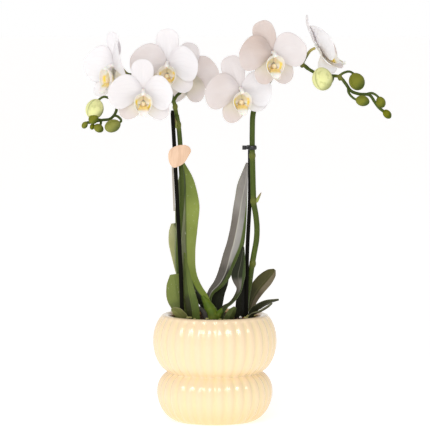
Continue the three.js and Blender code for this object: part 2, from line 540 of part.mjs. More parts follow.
function tepalSurface(kind, direction, stretch, sweep, roll) {
  const out = new THREE.Vector3(Math.cos(radians(direction)), Math.sin(radians(direction)), 0);
  const face = new THREE.Vector3(0, 0, 1);
  return (row, across) => {
    const along = 1 - (1 - row) ** 1.5;
    const lean = radians(kind.tilt + (kind.curve / 2 + sweep) * along);
    const half = (kind.width / 2) * tepalOutline(along, across * out.x > 0 ? kind.upper : kind.lower, kind.foot);
    const reach = 1 + kind.length * stretch * along;
    const turn = radians(roll) * THREE.MathUtils.smoothstep(along, TEPAL_ROLL.start, TEPAL_ROLL.end);
    const over = new THREE.Vector3(-out.y * Math.cos(turn), out.x * Math.cos(turn), Math.sin(turn));
    return new THREE.Vector3(0, 0, -LAYER_DEPTH * kind.behind)
      .addScaledVector(out, reach * Math.cos(lean))
      .addScaledVector(face, reach * Math.sin(lean))
      .addScaledVector(over, across * half)
      .addScaledVector(out.clone().cross(over), kind.cup * half * across ** 2);
  };
}

/** The five white tepals and the column, grown together. */
function perianth({ angles, reach, sweep, roll }) {
  const kinds = [TEPALS.dorsal, TEPALS.petal, TEPALS.petal, TEPALS.lateral, TEPALS.lateral];
  const pieces = kinds.map((kind, i) => blade(tepalSurface(kind, angles[i], reach[i], sweep[i], roll[i]),
    ...kind.facets, BLADE.petal, BLADE.petalEdge));
  pieces.push(egg([0, 0, 0], [0, 0, 1], HUB_RADIUS, HUB_RADIUS, 6, 3));
  pieces.push(egg(COLUMN.at, COLUMN.axis, COLUMN.long, COLUMN.wide, 5, 4));
  return geometryOf(fuse(pieces));
}

/** A side lobe of the lip: an upright wing that curls in beside the column. */
function sideLobe(hand) {
  const { route, half, thickness } = LIP.side;
  const rib = new THREE.CatmullRomCurve3(route.map(([x, y, z]) => new THREE.Vector3(x * hand, y, z)));
  const surface = (along, across) => {
    const reach = half * (0.45 + 0.55 * Math.sin(Math.PI * Math.min(1, along + 0.2)));
    return rib.getPoint(along).add(new THREE.Vector3(0, 0, across * reach));
  };
  return blade(surface, 3, 1, thickness, thickness);
}

/** The middle lobe of the lip: it runs forward, then down, and narrows to a tip. */
function middleLobe() {
  const { route, half, lift, thickness, edge } = LIP.middle;
  const rib = new THREE.CatmullRomCurve3(route.map(point));
  const surface = (along, across) => {
    const reach = half * Math.sin(Math.PI * (0.16 + 0.8 * along)) ** 0.8;
    return rib.getPoint(along).add(new THREE.Vector3(across * reach, 0, lift * across ** 2));
  };
  return blade(surface, 3, 2, thickness, edge);
}

function lip() {
  return fuse([sideLobe(-1), sideLobe(1), middleLobe()]);
}

// ---------------------------------------------------------------- tag and clip

/** The narrow stick of the pick, which runs down beside the stake. */
function pickStick() {
  const { top, bottom, frontY, width, thickness } = TAG.stick;
  const [run, drop] = [top[0] - bottom[0], top[1] - bottom[1]];
  return new THREE.BoxGeometry(width, thickness, Math.hypot(run, drop))
    .rotateY(Math.atan2(run, drop))
    .translate(top[0] - run / 2, frontY + thickness / 2, top[1] - drop / 2);
}

/** The wooden pick: a pebble-shaped plate on its stick. */
function pickTag() {
  const outline = TAG.outline.map(([x, z]) => new THREE.Vector2(x, z));
  const edge = new THREE.CatmullRomCurve3(outline.map(({ x, y }) => new THREE.Vector3(x, y, 0)), true);
  const shape = new THREE.Shape(edge.getPoints(28).slice(0, -1).map(({ x, y }) => new THREE.Vector2(x, y)));
  const plate = new THREE.ExtrudeGeometry(shape, { depth: TAG.thickness, bevelEnabled: false });
  return geometryOf(fuse([plate.rotateX(Math.PI / 2).translate(0, TAG.frontY + TAG.thickness, 0), pickStick()]));
}

/** The snap clip that holds the right stem to its stake. */
function stemClip() {
  const { z, height, wall, stem, stemRadius, stake, knob, knobRadius } = CLIP;
  const holes = [[stem, stemRadius + GAP], [stake, STAKE_RADIUS + GAP]];
  const post = ([x, y], radius, tall) => solidOf(
    new THREE.CylinderGeometry(radius, radius, tall, 12).rotateX(Math.PI / 2).translate(x, y, z));
  const arm = new THREE.BoxGeometry(stem[0] - knob[0], CLIP.arm, CLIP.arm).translate((stem[0] + knob[0]) / 2, knob[1], z);
  const grip = post(knob, knobRadius, height).add(solidOf(arm));
  const body = holes.reduce((whole, [place, radius]) => whole.add(post(place, radius + wall, height)), grip);
  return holes.reduce((whole, [place, radius]) => whole.subtract(post(place, radius, 2 * height)), body);
}

// ---------------------------------------------------------------- assembly

/** Tubes and blades a little larger than the real ones, which cut the holes that those stand in. */
function barkSockets() {
  const hole = (route, radius) => bar([[route[0][0], route[0][1], route[0][2] - GAP], ...route.slice(1, 4)],
    (radius + GAP) / Math.cos(Math.PI / 6));
  const spikes = [SPIKE_LEFT, SPIKE_RIGHT].map(({ stretches: [[radius, route]] }) => hole(route, radius));
  const stakes = Object.values(STAKES).map((route) => hole(route, STAKE_RADIUS));
  const leaves = Object.values(LEAVES).map((leaf) => leafBlade(leaf, SOCKET_GAP));
  return [...spikes, ...stakes, ...leaves].map(solidOf).concat(aerialRoot(SOCKET_GAP));
}

function potPieces() {
  const group = new THREE.Group();
  group.add(named('pot', ribbedPot(), COLOURS.glaze, 0.25));
  group.add(named('nursery_pot', nurseryPot(), COLOURS.plastic, 0.5));
  return group;
}

function plantPieces() {
  const group = new THREE.Group();
  const sockets = barkSockets();
  group.add(named('bark', geometryOf(barkBed([...sockets, crownBody(GAP)])), COLOURS.bark, 0.9));
  const cutCrown = sockets.reduce((body, socket) => body.subtract(socket), crownBody());
  group.add(named('crown', geometryOf(largestBody(cutCrown)), COLOURS.stem, 0.5));
  for (const [name, leaf] of Object.entries(LEAVES)) {
    group.add(named(name, leafBlade(leaf), name.includes('pale') ? COLOURS.leafPale : COLOURS.leaf, 0.45));
  }
  group.add(named('aerial_root', geometryOf(aerialRoot()), COLOURS.root, 0.7));
  group.add(named('spike_left', geometryOf(spike('spike_left', SPIKE_LEFT)), COLOURS.stem, 0.5));
  group.add(named('spike_right', geometryOf(spike('spike_right', SPIKE_RIGHT)), COLOURS.stem, 0.5));
  return group;
}

function bloomPieces() {
  const group = new THREE.Group();
  const lipShape = geometryOf(lip());
  for (const [name, bloom] of Object.entries(BLOOMS)) {
    const flower = new THREE.Group();
    flower.applyMatrix4(bloomFrame(bloom));
    flower.add(named(`bloom_${name}`, perianth(bloom), COLOURS.petal, 0.5));
    flower.add(named(`lip_${name}`, lipShape.clone(), COLOURS.lip, 0.45));
    group.add(flower);
  }
  return group;
}

function supportPieces() {
  const group = new THREE.Group();
  for (const [name, route] of Object.entries(STAKES)) {
    group.add(named(name, bar(route, STAKE_RADIUS, 8, 30), COLOURS.stake, 0.6));
  }
  group.add(named('clip', geometryOf(stemClip()), COLOURS.clip, 0.4));
  group.add(named('tag', pickTag(), COLOURS.tag, 0.7));
  return group;
}

const orchid = new THREE.Group();
orchid.add(potPieces(), plantPieces(), bloomPieces(), supportPieces());
export default orchid;
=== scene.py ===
"""A white moth orchid with two arching flower spikes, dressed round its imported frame.

The plant stands in a ribbed, cream-glazed pot. The tables below are in millimetres and the meshes in metres,
with +Z up, and the flowers face -Y.
"""

import math
import random

import bmesh
import bpy
from bpy.props import FloatProperty, FloatVectorProperty, IntProperty, PointerProperty
from mathutils import Matrix, Vector, noise


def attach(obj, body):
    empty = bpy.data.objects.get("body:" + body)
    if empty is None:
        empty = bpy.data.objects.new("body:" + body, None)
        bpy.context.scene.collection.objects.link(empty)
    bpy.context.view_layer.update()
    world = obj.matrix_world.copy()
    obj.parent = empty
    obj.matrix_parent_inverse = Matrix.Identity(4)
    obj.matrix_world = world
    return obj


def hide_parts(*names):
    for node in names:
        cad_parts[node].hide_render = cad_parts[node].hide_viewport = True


bl_info = {
    "name": "Potted Moth Orchid",
    "version": (1, 0, 0),
    "blender": (4, 5, 0),
    "location": "View3D > Sidebar > Orchid",
    "description": "Models the looks of a potted moth orchid round its fixed frame",
    "category": "Object",
}

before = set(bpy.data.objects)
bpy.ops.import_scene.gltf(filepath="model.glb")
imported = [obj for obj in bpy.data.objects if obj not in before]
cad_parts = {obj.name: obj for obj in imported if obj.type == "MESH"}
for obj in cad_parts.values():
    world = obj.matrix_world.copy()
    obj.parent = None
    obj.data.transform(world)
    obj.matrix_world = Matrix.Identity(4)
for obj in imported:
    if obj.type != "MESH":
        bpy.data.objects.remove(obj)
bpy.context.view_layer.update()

MM = 0.001
ROOT = "root"

# ---------------------------------------------------------------- sizes and places, in millimetres

POT = {
    "height": 106.5,
    "foot_radius": 38.5,
    "waist_z": 48.6,
    "waist_radius": 47.6,
    "upper": {"z": 79.5, "radius": 62, "rise": 31.5, "swell": 20.6},
    "lower": {"z": 29, "radius": 58, "rise": 19.5, "swell": 14, "fall": 31.5, "fall_swell": 28},
    "lip_base": 104,
    "lip_inside": 46.5,
    "wall": 5,
}
# The rings of the pot's profile: the lowest, the step and number of those below and above the waist, and how
# far the two at the waist's crease stand from it.
POT_RINGS = {"first": 0.6, "below": (1.6, 30), "above": (1.7, 32), "crease": 0.25}
# Steps round the pot for each rib, how narrow the grooves are, how high above the floor they start, and over
# what distances from the top and from the floor they deepen.
RIB = {"steps": 12, "narrowness": 1.25, "from_z": 0.3, "lip_fade": (0.5, 5), "foot_fade": (0, 8)}
# The painted shade inside the pot, a warm brown for the wall in shadow: how far below the lip's top it fades
# in, and the height where it ends.
POT_SHADE = {"fade": (0.1, 1.5), "from_z": 5}
POT_LIP = [(53.7, 105.1), (52.4, 106.0), (50.6, 106.5), (48.6, 106.4), (46.9, 105.7), (45.8, 104.4),
           (45.4, 102.4)]
POT_INSIDE = [(46.3, 99.5), (50.8, 94.5), (55, 86), (55.4, 77), (54, 67), (49.5, 57), (43.2, 48.6),
              (48.5, 41), (50.5, 33), (50.2, 24), (47.5, 15), (42, 8.5), (36, 6), (0, 6)]

NURSERY = {"top_z": 99.5, "bottom_z": 6.3, "top_radius": 43.2, "bottom_radius": 33, "wall": 1.2,
           "foot_bevel": 1, "rim": 1.2, "rim_height": 4, "ease": (0.4, 0.3)}
# The bark's bed lies below the level of its chips, by this much at its edge, a little way in and in the
# middle.
BARK = {"top_z": 97.6, "radius": 41.4, "foot_radius": 31.4, "foot_z": 7.8, "sink": (3, 1.5, 1), "seed": 7}
# Loose chips, laid in a spiral over the bark and then heaped against the lip: how far out they lie, how far
# above the bark, and their sizes.
SPREAD = {"inset": 6, "rise": (-1, 1.8), "sizes": (6, 11)}
HEAP = {"chips": 110, "reach": (33, 41), "rise": (2.5, 6.2), "sizes": (3.5, 6.5)}
# A chip's length, width and thickness, how far its corners are pulled and its bevel, as shares of its size,
# and its tilt in radians.
CHIP = {"shape": ((0.7, 1.5), (0.5, 0.9), (0.22, 0.5)), "pull": 0.13, "bevel": 0.07, "tilt": 0.45}
# Moss and perlite lie a little above the bark, and rise towards the lip over this stretch of the way out.
SCATTER = {"inner_share": 0.35, "lift": 2.4, "rise": 6, "rise_from": 30, "rise_to": 36, "knob": 0.5,
           "knob_scale": 1.7}
MOSS = {"count": 44, "sizes": (1.2, 2.6), "flatness": 0.45}
PERLITE = {"count": 12, "sizes": (0.8, 1.6), "flatness": 0.85}

LEAF_THICKNESS = 1.5
# A leaf's halves rise by this power of the distance from its rib, and ripple by this share of their width.
LEAF_FORM = {"power": 1.3, "ripple": 0.03, "waves": 11, "phase": 1.7, "columns": 10, "rows": 36}
# A leaf is a run of stations (x, y, z, half-width, turn in degrees), and fold is how far its halves rise.
LEAVES = {
    "leaf_left_main": {"fold": 34, "stations": [
        (-6, -3, 96, 4, 0), (-10, -2, 119, 7, 5), (-19, 0, 132, 10, 12), (-26.8, 5, 149, 12.5, 17),
        (-28.7, 8, 170.5, 13, 12), (-29, 9, 195.5, 13.5, -8), (-29, 9, 220.5, 13, -30),
        (-29, 9, 240.5, 8, -34), (-32, 10, 258.5, 1.2, -34)]},
    "leaf_left_rear": {"fold": 18, "stations": [
        (-20, 27, 94, 4, 20), (-26, 28, 128.5, 6, 35), (-32, 28, 169, 7, 50), (-34.5, 28, 204.5, 7, 55),
        (-34.5, 28, 230, 5, 55), (-34.5, 28, 246, 1.2, 55)]},
    "leaf_left_pale": {"fold": 10, "stations": [
        (-24, 17, 95, 4, 0), (-27.5, 19, 119.5, 7, 5), (-30.5, 21, 139.5, 7.4, 8),
        (-35, 21, 158, 7.6, 10), (-39.3, 22, 176, 7.4, 10), (-41, 21.5, 188.5, 5.5, 10),
        (-42, 21, 196, 2.2, 10)]},
    "leaf_left_broad": {"fold": 8, "stations": [
        (-30, -8, 95, 6, 0), (-34, -8.5, 113.5, 9, 2), (-37.5, -8.5, 125.5, 11, 4),
        (-39, -8.5, 137.5, 9.5, 4), (-40.5, -8.5, 147.5, 4.5, 2)]},
    "leaf_left_inner": {"fold": 12, "stations": [
        (-20, -15, 95, 6, 0), (-21.8, -16, 114, 6.5, 0), (-24.5, -14, 127, 6, 5),
        (-27, -10, 141.5, 4.5, 15), (-29, -7, 156.5, 2.5, 25), (-30.5, -6, 169, 0.8, 25)]},
    "leaf_left_small": {"fold": 6, "stations": [
        (-28.5, -20.5, 95, 4.5, 0), (-31, -22, 104, 5, 0), (-36.5, -25, 111, 5, 0),
        (-42.5, -27, 115, 2.2, 0)]},
    "leaf_right_tall": {"fold": 30, "stations": [
        (-2, 8, 96, 4.5, 0), (-6.5, 8.5, 116, 3.6, 0), (-3.8, 8, 127.4, 3.8, 5), (4.4, 8, 135.6, 6.4, 8),
        (10.2, 8, 146, 8, 6), (13.4, 8, 155.8, 8.7, -1), (16, 8.5, 166, 10.3, -16),
        (19, 9, 176, 10.8, -20), (22.6, 10, 193, 9.3, -14), (25.4, 11.5, 210, 8.1, 3),
        (27.5, 12, 223, 7.3, 18), (30.7, 13, 240, 6.8, 42), (32.8, 13, 258, 1.4, 48)]},
    "leaf_right_dark": {"fold": 12, "stations": [
        (2, 17, 95, 5, 10), (1.5, 18, 112, 6.5, 10), (4, 19, 124, 6.5, 15), (9, 20, 135, 5, 15),
        (14, 20, 146, 1, 15)]},
    "leaf_right_arching": {"fold": 14, "stations": [
        (4, -7, 95, 3, 0), (8, -8, 113, 3.2, -40), (15.5, -9, 118.5, 2.6, -50), (21, -9, 125, 2.4, -30),
        (24.4, -9, 133, 3, -20), (23.6, -8.5, 141, 6.2, -8), (23.4, -8, 147, 7.4, -4),
        (25.4, -7, 156, 5.6, 0), (27.2, -6, 166, 3.2, 3), (28.4, -5, 175, 1, 5)]},
    "leaf_right_stub": {"fold": 16, "stations": [
        (12.5, -17, 95, 4, 10), (14.5, -18, 105, 5, 10), (17.5, -18, 111, 4, 10),
        (20.5, -18, 115.5, 1.6, 10)]},
    "leaf_right_short": {"fold": 14, "stations": [
        (23, 1, 95, 4, 10), (25, 1, 108, 5, 10), (26, 1.2, 119, 5, 10), (27, 1.5, 130, 4.2, 10),
        (28.5, 2, 141, 2.6, 10), (29.5, 2, 152, 1, 10)]},
    "leaf_right_spread": {"fold": 12, "stations": [
        (32, 14, 94, 4, 25), (36, 15, 116, 6.6, 20), (43.5, 16, 130, 8.2, 15), (51.5, 17, 139.5, 8, 10),
        (57.5, 18, 146, 5.5, 8), (60.5, 18, 149.5, 1.2, 5)]},
    "leaf_right_narrow": {"fold": 14, "stations": [
        (34, -10, 96, 2.5, 24), (38, -11, 110, 3.8, 22), (45, -12, 115.5, 4.4, 18),
        (53, -13, 119.5, 3.6, 16), (64, -14, 122.5, 0.9, 16)]},
    "leaf_right_low": {"fold": 12, "stations": [
        (31, -20, 96, 2.4, 20), (37.5, -21, 108, 3.2, 45), (45.5, -22, 111.5, 3.8, 60),
        (52, -23, 115.5, 3, 60), (57, -24, 120, 0.9, 60)]},
}

# The crown's sheaths, which clasp the feet of two leaves: the radius at the foot, and the route. Each loses a
# share of its radius by a power of the way along it.
SHEATHS = [
    (8.6, [(-1, -3, 96), (-2.5, -3.5, 105), (-6.5, -3.5, 115), (-12.5, -2.5, 125)]),
    (5.4, [(0.5, -4, 96), (3.2, -4.8, 104.5), (8, -6.3, 111), (13.5, -7.5, 116)]),
]
SHEATH_LOSS = {"share": 0.8, "power": 1.4}
AERIAL_ROOT = {
    "radius": 2.6, "knob": 3.4,
    "route": [(-8, -9.5, 96), (-9.5, -9.5, 105), (-12.5, -9.5, 111), (-16, -9, 112.5),
              (-18.5, -8.5, 108.5)],
}

# Each stem is a run of (radius, route) stretches, from the bark to the tip. A joint is a place and its
# radius, a bract its foot, tip and half-width, and a bud its middle, axis, half-length, half-width,
# paleness and stalk.
STEMS = {
    "left": {
        "stretches": [
            (2.55, [
                (-28, 3, 88), (-32, 2, 120), (-35, 0, 140), (-36.5, 0, 159), (-36.5, 0, 176),
                (-35.5, -1, 189), (-34, -2, 206), (-33, -3, 221), (-33, -3.5, 241), (-34, -4, 261),
                (-34.5, -4, 277), (-36, -4, 294), (-38, -3, 306)]),
            (2.0, [
                (-38, -3, 305), (-39.5, -2, 314), (-41, -1, 320), (-44, 1, 327), (-49, 4, 335),
                (-57, 6, 342), (-68, 6, 348), (-78.5, 3, 348)]),
            (1.5, [
                (-77, 3, 348), (-81, 2, 344), (-84.5, -1, 336), (-90, -6, 326), (-96, -10, 316.5),
                (-99, -12, 307.5), (-104, -12, 302.5), (-111, -12, 301.5), (-117, -12, 300.5),
                (-123, -12, 299), (-127, -12, 299)]),
        ],
        "joints": [(-36.3, -4, 296, 3), (-39.5, -2, 314, 2.7), (-49, 4, 335, 2.5), (-78, 3, 348, 2.4)],
        "bracts": [((-37.2, -6, 293), (-39.8, -7, 303), 2.2)],
        "buds": [
            ((-119, -15, 312.5), (0.35, 0, 0.95), 10.3, 9, 1.0,
             [(-97.5, -11.5, 315.5), (-103, -13, 322), (-110, -14, 324.5), (-116.5, -15, 320.5)]),
            ((-101, -21, 296), (0.9, 0, 0.35), 8.2, 6.4, 0.15,
             [(-100, -12, 306), (-96, -16, 305), (-92.5, -19, 301), (-96, -21, 298)]),
            ((-120, -19, 303), (0.5, 0, 0.85), 5.6, 4.9, 0.03,
             [(-113, -12, 301.5), (-117, -16, 302.5), (-119, -18, 303)]),
            ((-115, -17, 293.5), (0.8, 0, -0.5), 5.2, 4.2, 0.05,
             [(-113, -12, 301.5), (-113, -14.5, 298), (-114.5, -17, 295)]),
            ((-121.5, -13, 295), (0.3, 0, 0.95), 3.2, 2.5, 0.0,
             [(-120, -12, 299.5), (-121, -12.5, 297.5), (-121.5, -13, 296)]),
            ((-129, -12.5, 296.5), (0.5, 0, 0.85), 3.8, 3, 0.06,
             [(-126, -12, 299), (-127.5, -12, 298.5), (-128.5, -12.5, 297.5)]),
        ],
        "bloom_stalks": {
            "left_first": [(-41, -1, 320), (-38, 3, 325), (-33, 8, 330)],
            "left_second": [(-50, 4, 336), (-48, 2, 344), (-47.6, -3, 353)],
            "left_third": [(-42, -1, 320), (-52, -14, 319), (-64, -28, 324)],
            "left_fourth": [(-79, 3, 347.5), (-84, 3.5, 346), (-88, 3, 347.4)],
        },
    },
    "right": {
        "stretches": [
            (2.85, [
                (27, 9, 84), (30, 8, 102), (32, 7, 120), (34.5, 6, 135), (36.6, 5, 150.6), (39, 4, 165),
                (41.7, 2, 181), (42.2, 1, 193), (41, 0, 206), (39, 0, 218), (38.4, 0, 231),
                (37.9, 0, 251), (37.4, 0, 274), (37.4, 0, 291), (38, 0, 306), (41, 2, 318)]),
            (2.0, [
                (40.5, 2, 317), (47, 4, 329), (53, 5, 337), (59, 5, 345), (68, 6, 352.5), (78, 5, 357.5),
                (87, 3, 356.5), (93, 2, 352)]),
            (1.6, [
                (92, 2, 352.6), (99.5, 2, 348.3), (108.5, 2, 345.4), (117.3, 1, 345), (124.3, -1, 344),
                (130, -3, 337.5), (135.5, -5, 330), (144, -5, 327), (154, -5, 326), (158.7, -5, 319.6),
                (163.2, -5, 313.6), (168, -5, 309.7)]),
        ],
        "joints": [(37.4, 0, 265.4, 3.4), (38.8, 0, 220, 3.4), (38, 4.5, 157, 3.4), (87, 3, 356.5, 2.5),
            (124.5, -1, 343.5, 2.3)],
        "bracts": [((41, -1.5, 218.5), (46.4, -2, 229), 1.9)],
        "buds": [
            ((106, -25, 342.5), (-0.25, 0, 0.95), 11.6, 10.2, 1.0,
             [(118, 1, 345), (117, -8, 341.5), (114.5, -18, 338.5), (111.5, -23, 337)]),
            ((141, -7, 339.5), (-0.45, 0, 0.88), 9, 7.9, 0.05,
             [(123.5, -1, 344.5), (128, -3, 348), (134, -5, 349.3), (139, -6.5, 346.5)]),
            ((146.5, -13, 320.5), (0.95, 0, -0.2), 7, 5.4, 0.05,
             [(132.5, -4, 334), (133, -8, 328.5), (137, -11, 323.5), (141.5, -13, 321)]),
            ((165, -7, 319), (-0.4, 0, 0.9), 5.9, 4.7, 0.03,
             [(151, -5, 327), (156, -6, 328), (161, -7, 325.5), (164, -7, 322)]),
            ((171.5, -5, 307), (0.65, 0, -0.75), 5.2, 3.9, 0.0,
             [(166, -5, 311.5), (168.5, -5, 309.5), (170.5, -5, 308)]),
        ],
        "bloom_stalks": {
            "right_first": [(41, 2, 318), (36, -6, 324), (30, -13, 331)],
            "right_second": [(68, 6, 352.5), (64, -8, 356), (60, -24, 363)],
            "right_third": [(87, 3, 356.5), (90.5, 5.5, 363)],
        },
    },
}
# Radius of a stalk, and how it tapers: its share at the foot, and the share that it loses on the way.
STALKS = {"bloom": (1.5, 1.1, 0.2), "bud": (1.2, 1.15, 0.2)}
STEM_TAPER = (1.06, 0.1)
BRACT_THICKNESS = 0.7
# How far the yellow of a stem reaches from a joint, and where the pale green near a bloom fades out.
STEM_TINT = {"joint": 3.2, "bloom": (5, 20)}
# Three sepals meet in a bud's seams. The depth of a seam and how much its beak narrows are shares of its
# width.
BUD = {"sepals": 3, "turn": 0.6, "seam": 0.07, "beak": 0.1}

# Tepals of a bloom: length, width, where the upper and lower edges are widest and how blunt they are, how
# narrow the foot is, tilt at the foot and curve along the length in degrees, lift of the edges, and whether
# it lies behind.
TEPALS = {
    "dorsal": {"length": 31.5, "width": 23.5, "upper": (0.62, 0.72), "lower": (0.62, 0.72), "foot": 0.34,
               "tilt": -3, "curve": -6, "cup": 0.06, "behind": 1},
    "petal": {"length": 33, "width": 36, "upper": (0.45, 0.66), "lower": (0.66, 0.98), "foot": 0.22,
              "tilt": 4, "curve": 8, "cup": -0.04, "behind": 0},
    "lateral": {"length": 34, "width": 23, "upper": (0.56, 0.72), "lower": (0.56, 0.72), "foot": 0.36,
                "tilt": -2, "curve": -6, "cup": 0.06, "behind": 1},
}
TEPAL_KINDS = ("dorsal", "petal", "petal", "lateral", "lateral")
TEPAL_RISE = 0.9
# How deep and wide the furrow at a tepal's foot is, its waves and turned edge as shares of its half-width,
# and the stretch where a rolled one turns.
TEPAL_FORM = {"furrow": 0.9, "furrow_width": 0.16, "wave": 0.035, "waves": 9, "edge": 0.05,
              "rolled": (0.38, 0.8)}
LAYER_DEPTH = 1.6
HUB_RADIUS = 3
BLOOM_SEED = 3

# Every bloom: its middle, the way it faces (yaw, pitch), its size, and for each of its five tepals its
# direction round the face and how much painted shade it carries where it lies in shadow. Where it isn't the
# usual one, a bloom also says how much each tepal outgrows the others, how far it bends forward and how far
# it is rolled about its own length.
USUAL = {"reach": 1, "sweep": 0, "roll": 0}
BLOOMS = {
    "left_first": {
        "at": (-26.8, 24, 347.5), "yaw": 160, "pitch": 4, "size": 0.95, "angles": (97, 178, 2, 242, 298),
        "sweep": (-4, -4, -4, -4, -4), "shade": (0.25, 0.7, 0.25, 0.7, 0.5)},
    "left_second": {
        "at": (-47, -16, 357.5), "yaw": -4, "pitch": 2, "size": 1, "angles": (90, 172, 0, 230, 308),
        "reach": (1.06, 1.1, 0.92, 1, 1), "shade": (0.1, 0.55, 0, 0.5, 0.25)},
    "left_third": {
        "at": (-70, -46, 331), "yaw": 2, "pitch": 4, "size": 0.96, "angles": (92, 181, -5, 232, 310),
        "reach": (1, 1.08, 0.9, 1, 1.05), "shade": (0.15, 0.2, 0, 0.85, 0.3)},
    "left_fourth": {
        "at": (-101.3, 0, 354), "yaw": -55, "pitch": 0, "size": 1.08, "angles": (90, 172, 24, 230, 296),
        "reach": (1, 1, 1, 1, 0.92), "sweep": (11, 14, 13, 18, 18), "shade": (0, 0, 0, 0, 0.05)},
    "right_first": {
        "at": (25.4, -22, 332), "yaw": 14, "pitch": 4, "size": 1, "angles": (110, 184, 2, 254, 327),
        "reach": (1.08, 1.13, 0.93, 1, 0.95), "shade": (0.5, 0.7, 0, 0.9, 0.15)},
    "right_second": {
        "at": (56.8, -38, 368), "yaw": 18, "pitch": 3, "size": 1, "angles": (113, 179, 11, 252, 303),
        "reach": (1.04, 1.09, 1.01, 0.92, 1), "shade": (0.9, 1, 0.5, 0.9, 0.95)},
    "right_third": {
        "at": (103.6, 8, 374.5), "yaw": 94, "pitch": -29, "size": 1.16,
        "angles": (90, 172, -14, 236, 300), "reach": (0.9, 0.95, 0.92, 0.87, 0.92),
        "sweep": (17, 9, 21, 0, 30), "roll": (0, 0, 0, 52, 0), "shade": (0.2, 0, 0.9, 0.05, 0.5)},
}

# The lip's cup, in its bloom's frame: the middle of its mouth, its half-width and half-height there, the
# share of them at its foot, and how far its foot and mouth stand forward.
LIP = {"middle_y": -11.3, "half_width": 9.3, "half_height": 10, "foot": 0.25, "foot_z": 2.6, "mouth_z": 9.6,
       "ruffle": 0.35, "thickness": 0.6}
# Its middle lobe runs along a rib. Its marks are spots with a middle and two radii, and a bar has a strength.
LOBE = {"half_width": 5.4, "dish": 1.3,
        "rib": [(0, -15, 5.4), (0, -18.5, 8.4), (0, -21.5, 10.6), (0, -24, 10.2)]}
# Where the yellow patches and the vault's beige painted shade fade in and out, as shares of the way from its
# middle to its rim.
LIP_FADES = {"rim": (0.6, 0.74), "edge": (0.86, 0.93), "upwards": (0.2, 0.5), "sideways": (0.3, 0.5),
             "vault": (-0.2, 0.3), "vault_edge": (0.62, 0.78)}
GOLD_SPOT = ((0, -16), (4.2, 5))
CHEEK_BARS = (0.5, (4.1, -13.4), (2, 0.6))
LONE_BAR = (0.4, (-1.8, -11.8), (1.1, 0.5))
CALLUS = {"at": (0, -12.6, 4.5), "axis": (0, 0.5, 1), "long": 3.2, "wide": 2.7, "gold": 0.55, "bar": 0.3}
TENDRIL = [(0.6, -23.4, 10.3), (2.2, -24.6, 11.6), (3.6, -23.8, 13), (3.2, -22.2, 13.8)]
# The column stands on the bloom's hub, with a waist, and carries a cap with a cream spot in front.
COLUMN = {"route": [(0, 0.4, -2.6), (0, 0.9, 1.5), (0, 0, 5), (0, -1.8, 7.8)], "radius": 2.3, "waist": 0.5}
CAP = {"at": (0, -2.2, 8), "axis": (0, -0.6, 1), "long": 1.9, "wide": 2.1, "spot": (0, -3.9, 9),
       "fade": (0.6, 1.3)}

STAKE_RADIUS = 2
# The last stretch of a stake, as a share of its length, and how much narrower its end is.
STAKE_TIP = {"from": 0.985, "loss": 0.35}
STAKES = {
    "stake_left": [(-32.5, -15, 76), (-32.5, -15, 104), (-34.5, -13, 162), (-37, -12, 212),
                   (-40, -10, 271.5), (-42.2, -9, 311)],
    "stake_right": [(31.4, -2, 70), (31.4, -2, 102), (32.6, 2, 171), (35, 5.6, 221), (35.1, 6.2, 275.4)],
}
TAG = {
    "front_y": -14.2, "thickness": 1.6, "ease": 0.3,
    "outline": [
        (-42.6, 273.8), (-34.1, 276.8), (-26.3, 275.6), (-23.6, 271.1), (-26.3, 265.4), (-30.6, 258.7),
        (-36.5, 255.2), (-40.8, 254.3), (-44.4, 257.5), (-46.2, 264.2), (-45.6, 270.1)],
    "stick": {"from": (-42.2, 262), "to": (-40.3, 211), "front_y": -13.6, "width": 1.8, "thickness": 1.5},
}
CLIP = {"z": 273.5, "height": 4.2, "wall": 1.4, "gap": 0.3, "arm": 3, "arm_gap": 0.8, "stem": (37.4, 0),
        "stem_radius": 2.85, "stake": (35.1, 6.2), "knob": (29.5, -0.5), "knob_radius": 2.2, "ease": 0.35}

# The stage, in metres. The glint is a wide strip that shows only in reflections.
FLOOR_SIZE = 60
LIGHTS = {
    "key": {"at": (-1.05, -1.95, 1.25), "size": (0.9, 1.0)},
    "front": {"at": (-0.05, -2.1, 1.3), "size": (0.55, 0.8)},
    "side": {"at": (-2.1, -0.5, 0.9), "size": (0.9, 1.0)},
    "glint": {"at": (0, -2.1, 1.42), "size": (2.8, 0.4), "diffuse": False},
}
LIGHT_AIM = (0, 0, 0.2)
# The surround turns from its warm, bright horizon to a plain zenith between these heights of the view.
SURROUND = {"low": 0.08, "high": 0.6, "horizon": (1, 0.94, 0.91, 1), "zenith": (1, 1, 1, 1)}
CAMERA = {"at": (0.0002, -2.5, 0.4), "aim": (0.0002, 0, 0.206), "lens": 209.93, "sensor": 36, "far": 100}


# ---------------------------------------------------------------- settings that a user would change


def screen(red, green, blue):
    """Linear colour from the 0 to 255 values seen on screen, by the sRGB curve."""
    def linear(value):
        share = value / 255
        return share / 12.92 if share <= 0.04045 else ((share + 0.055) / 1.055) ** 2.4
    return (linear(red), linear(green), linear(blue), 1.0)


def colour_property(name, description, default):
    return FloatVectorProperty(name=name, description=description, subtype="COLOR", size=4, min=0, max=1,
                               default=default)


def length_property(name, description, millimetres):
    return FloatProperty(name=name, description=description, default=millimetres * MM, unit="LENGTH")


def power_property(name, description, watts):
    return FloatProperty(name=name, description=description, default=watts, unit="POWER")


def share_property(name, description, default):
    return FloatProperty(name=name, description=description, default=default, min=0)


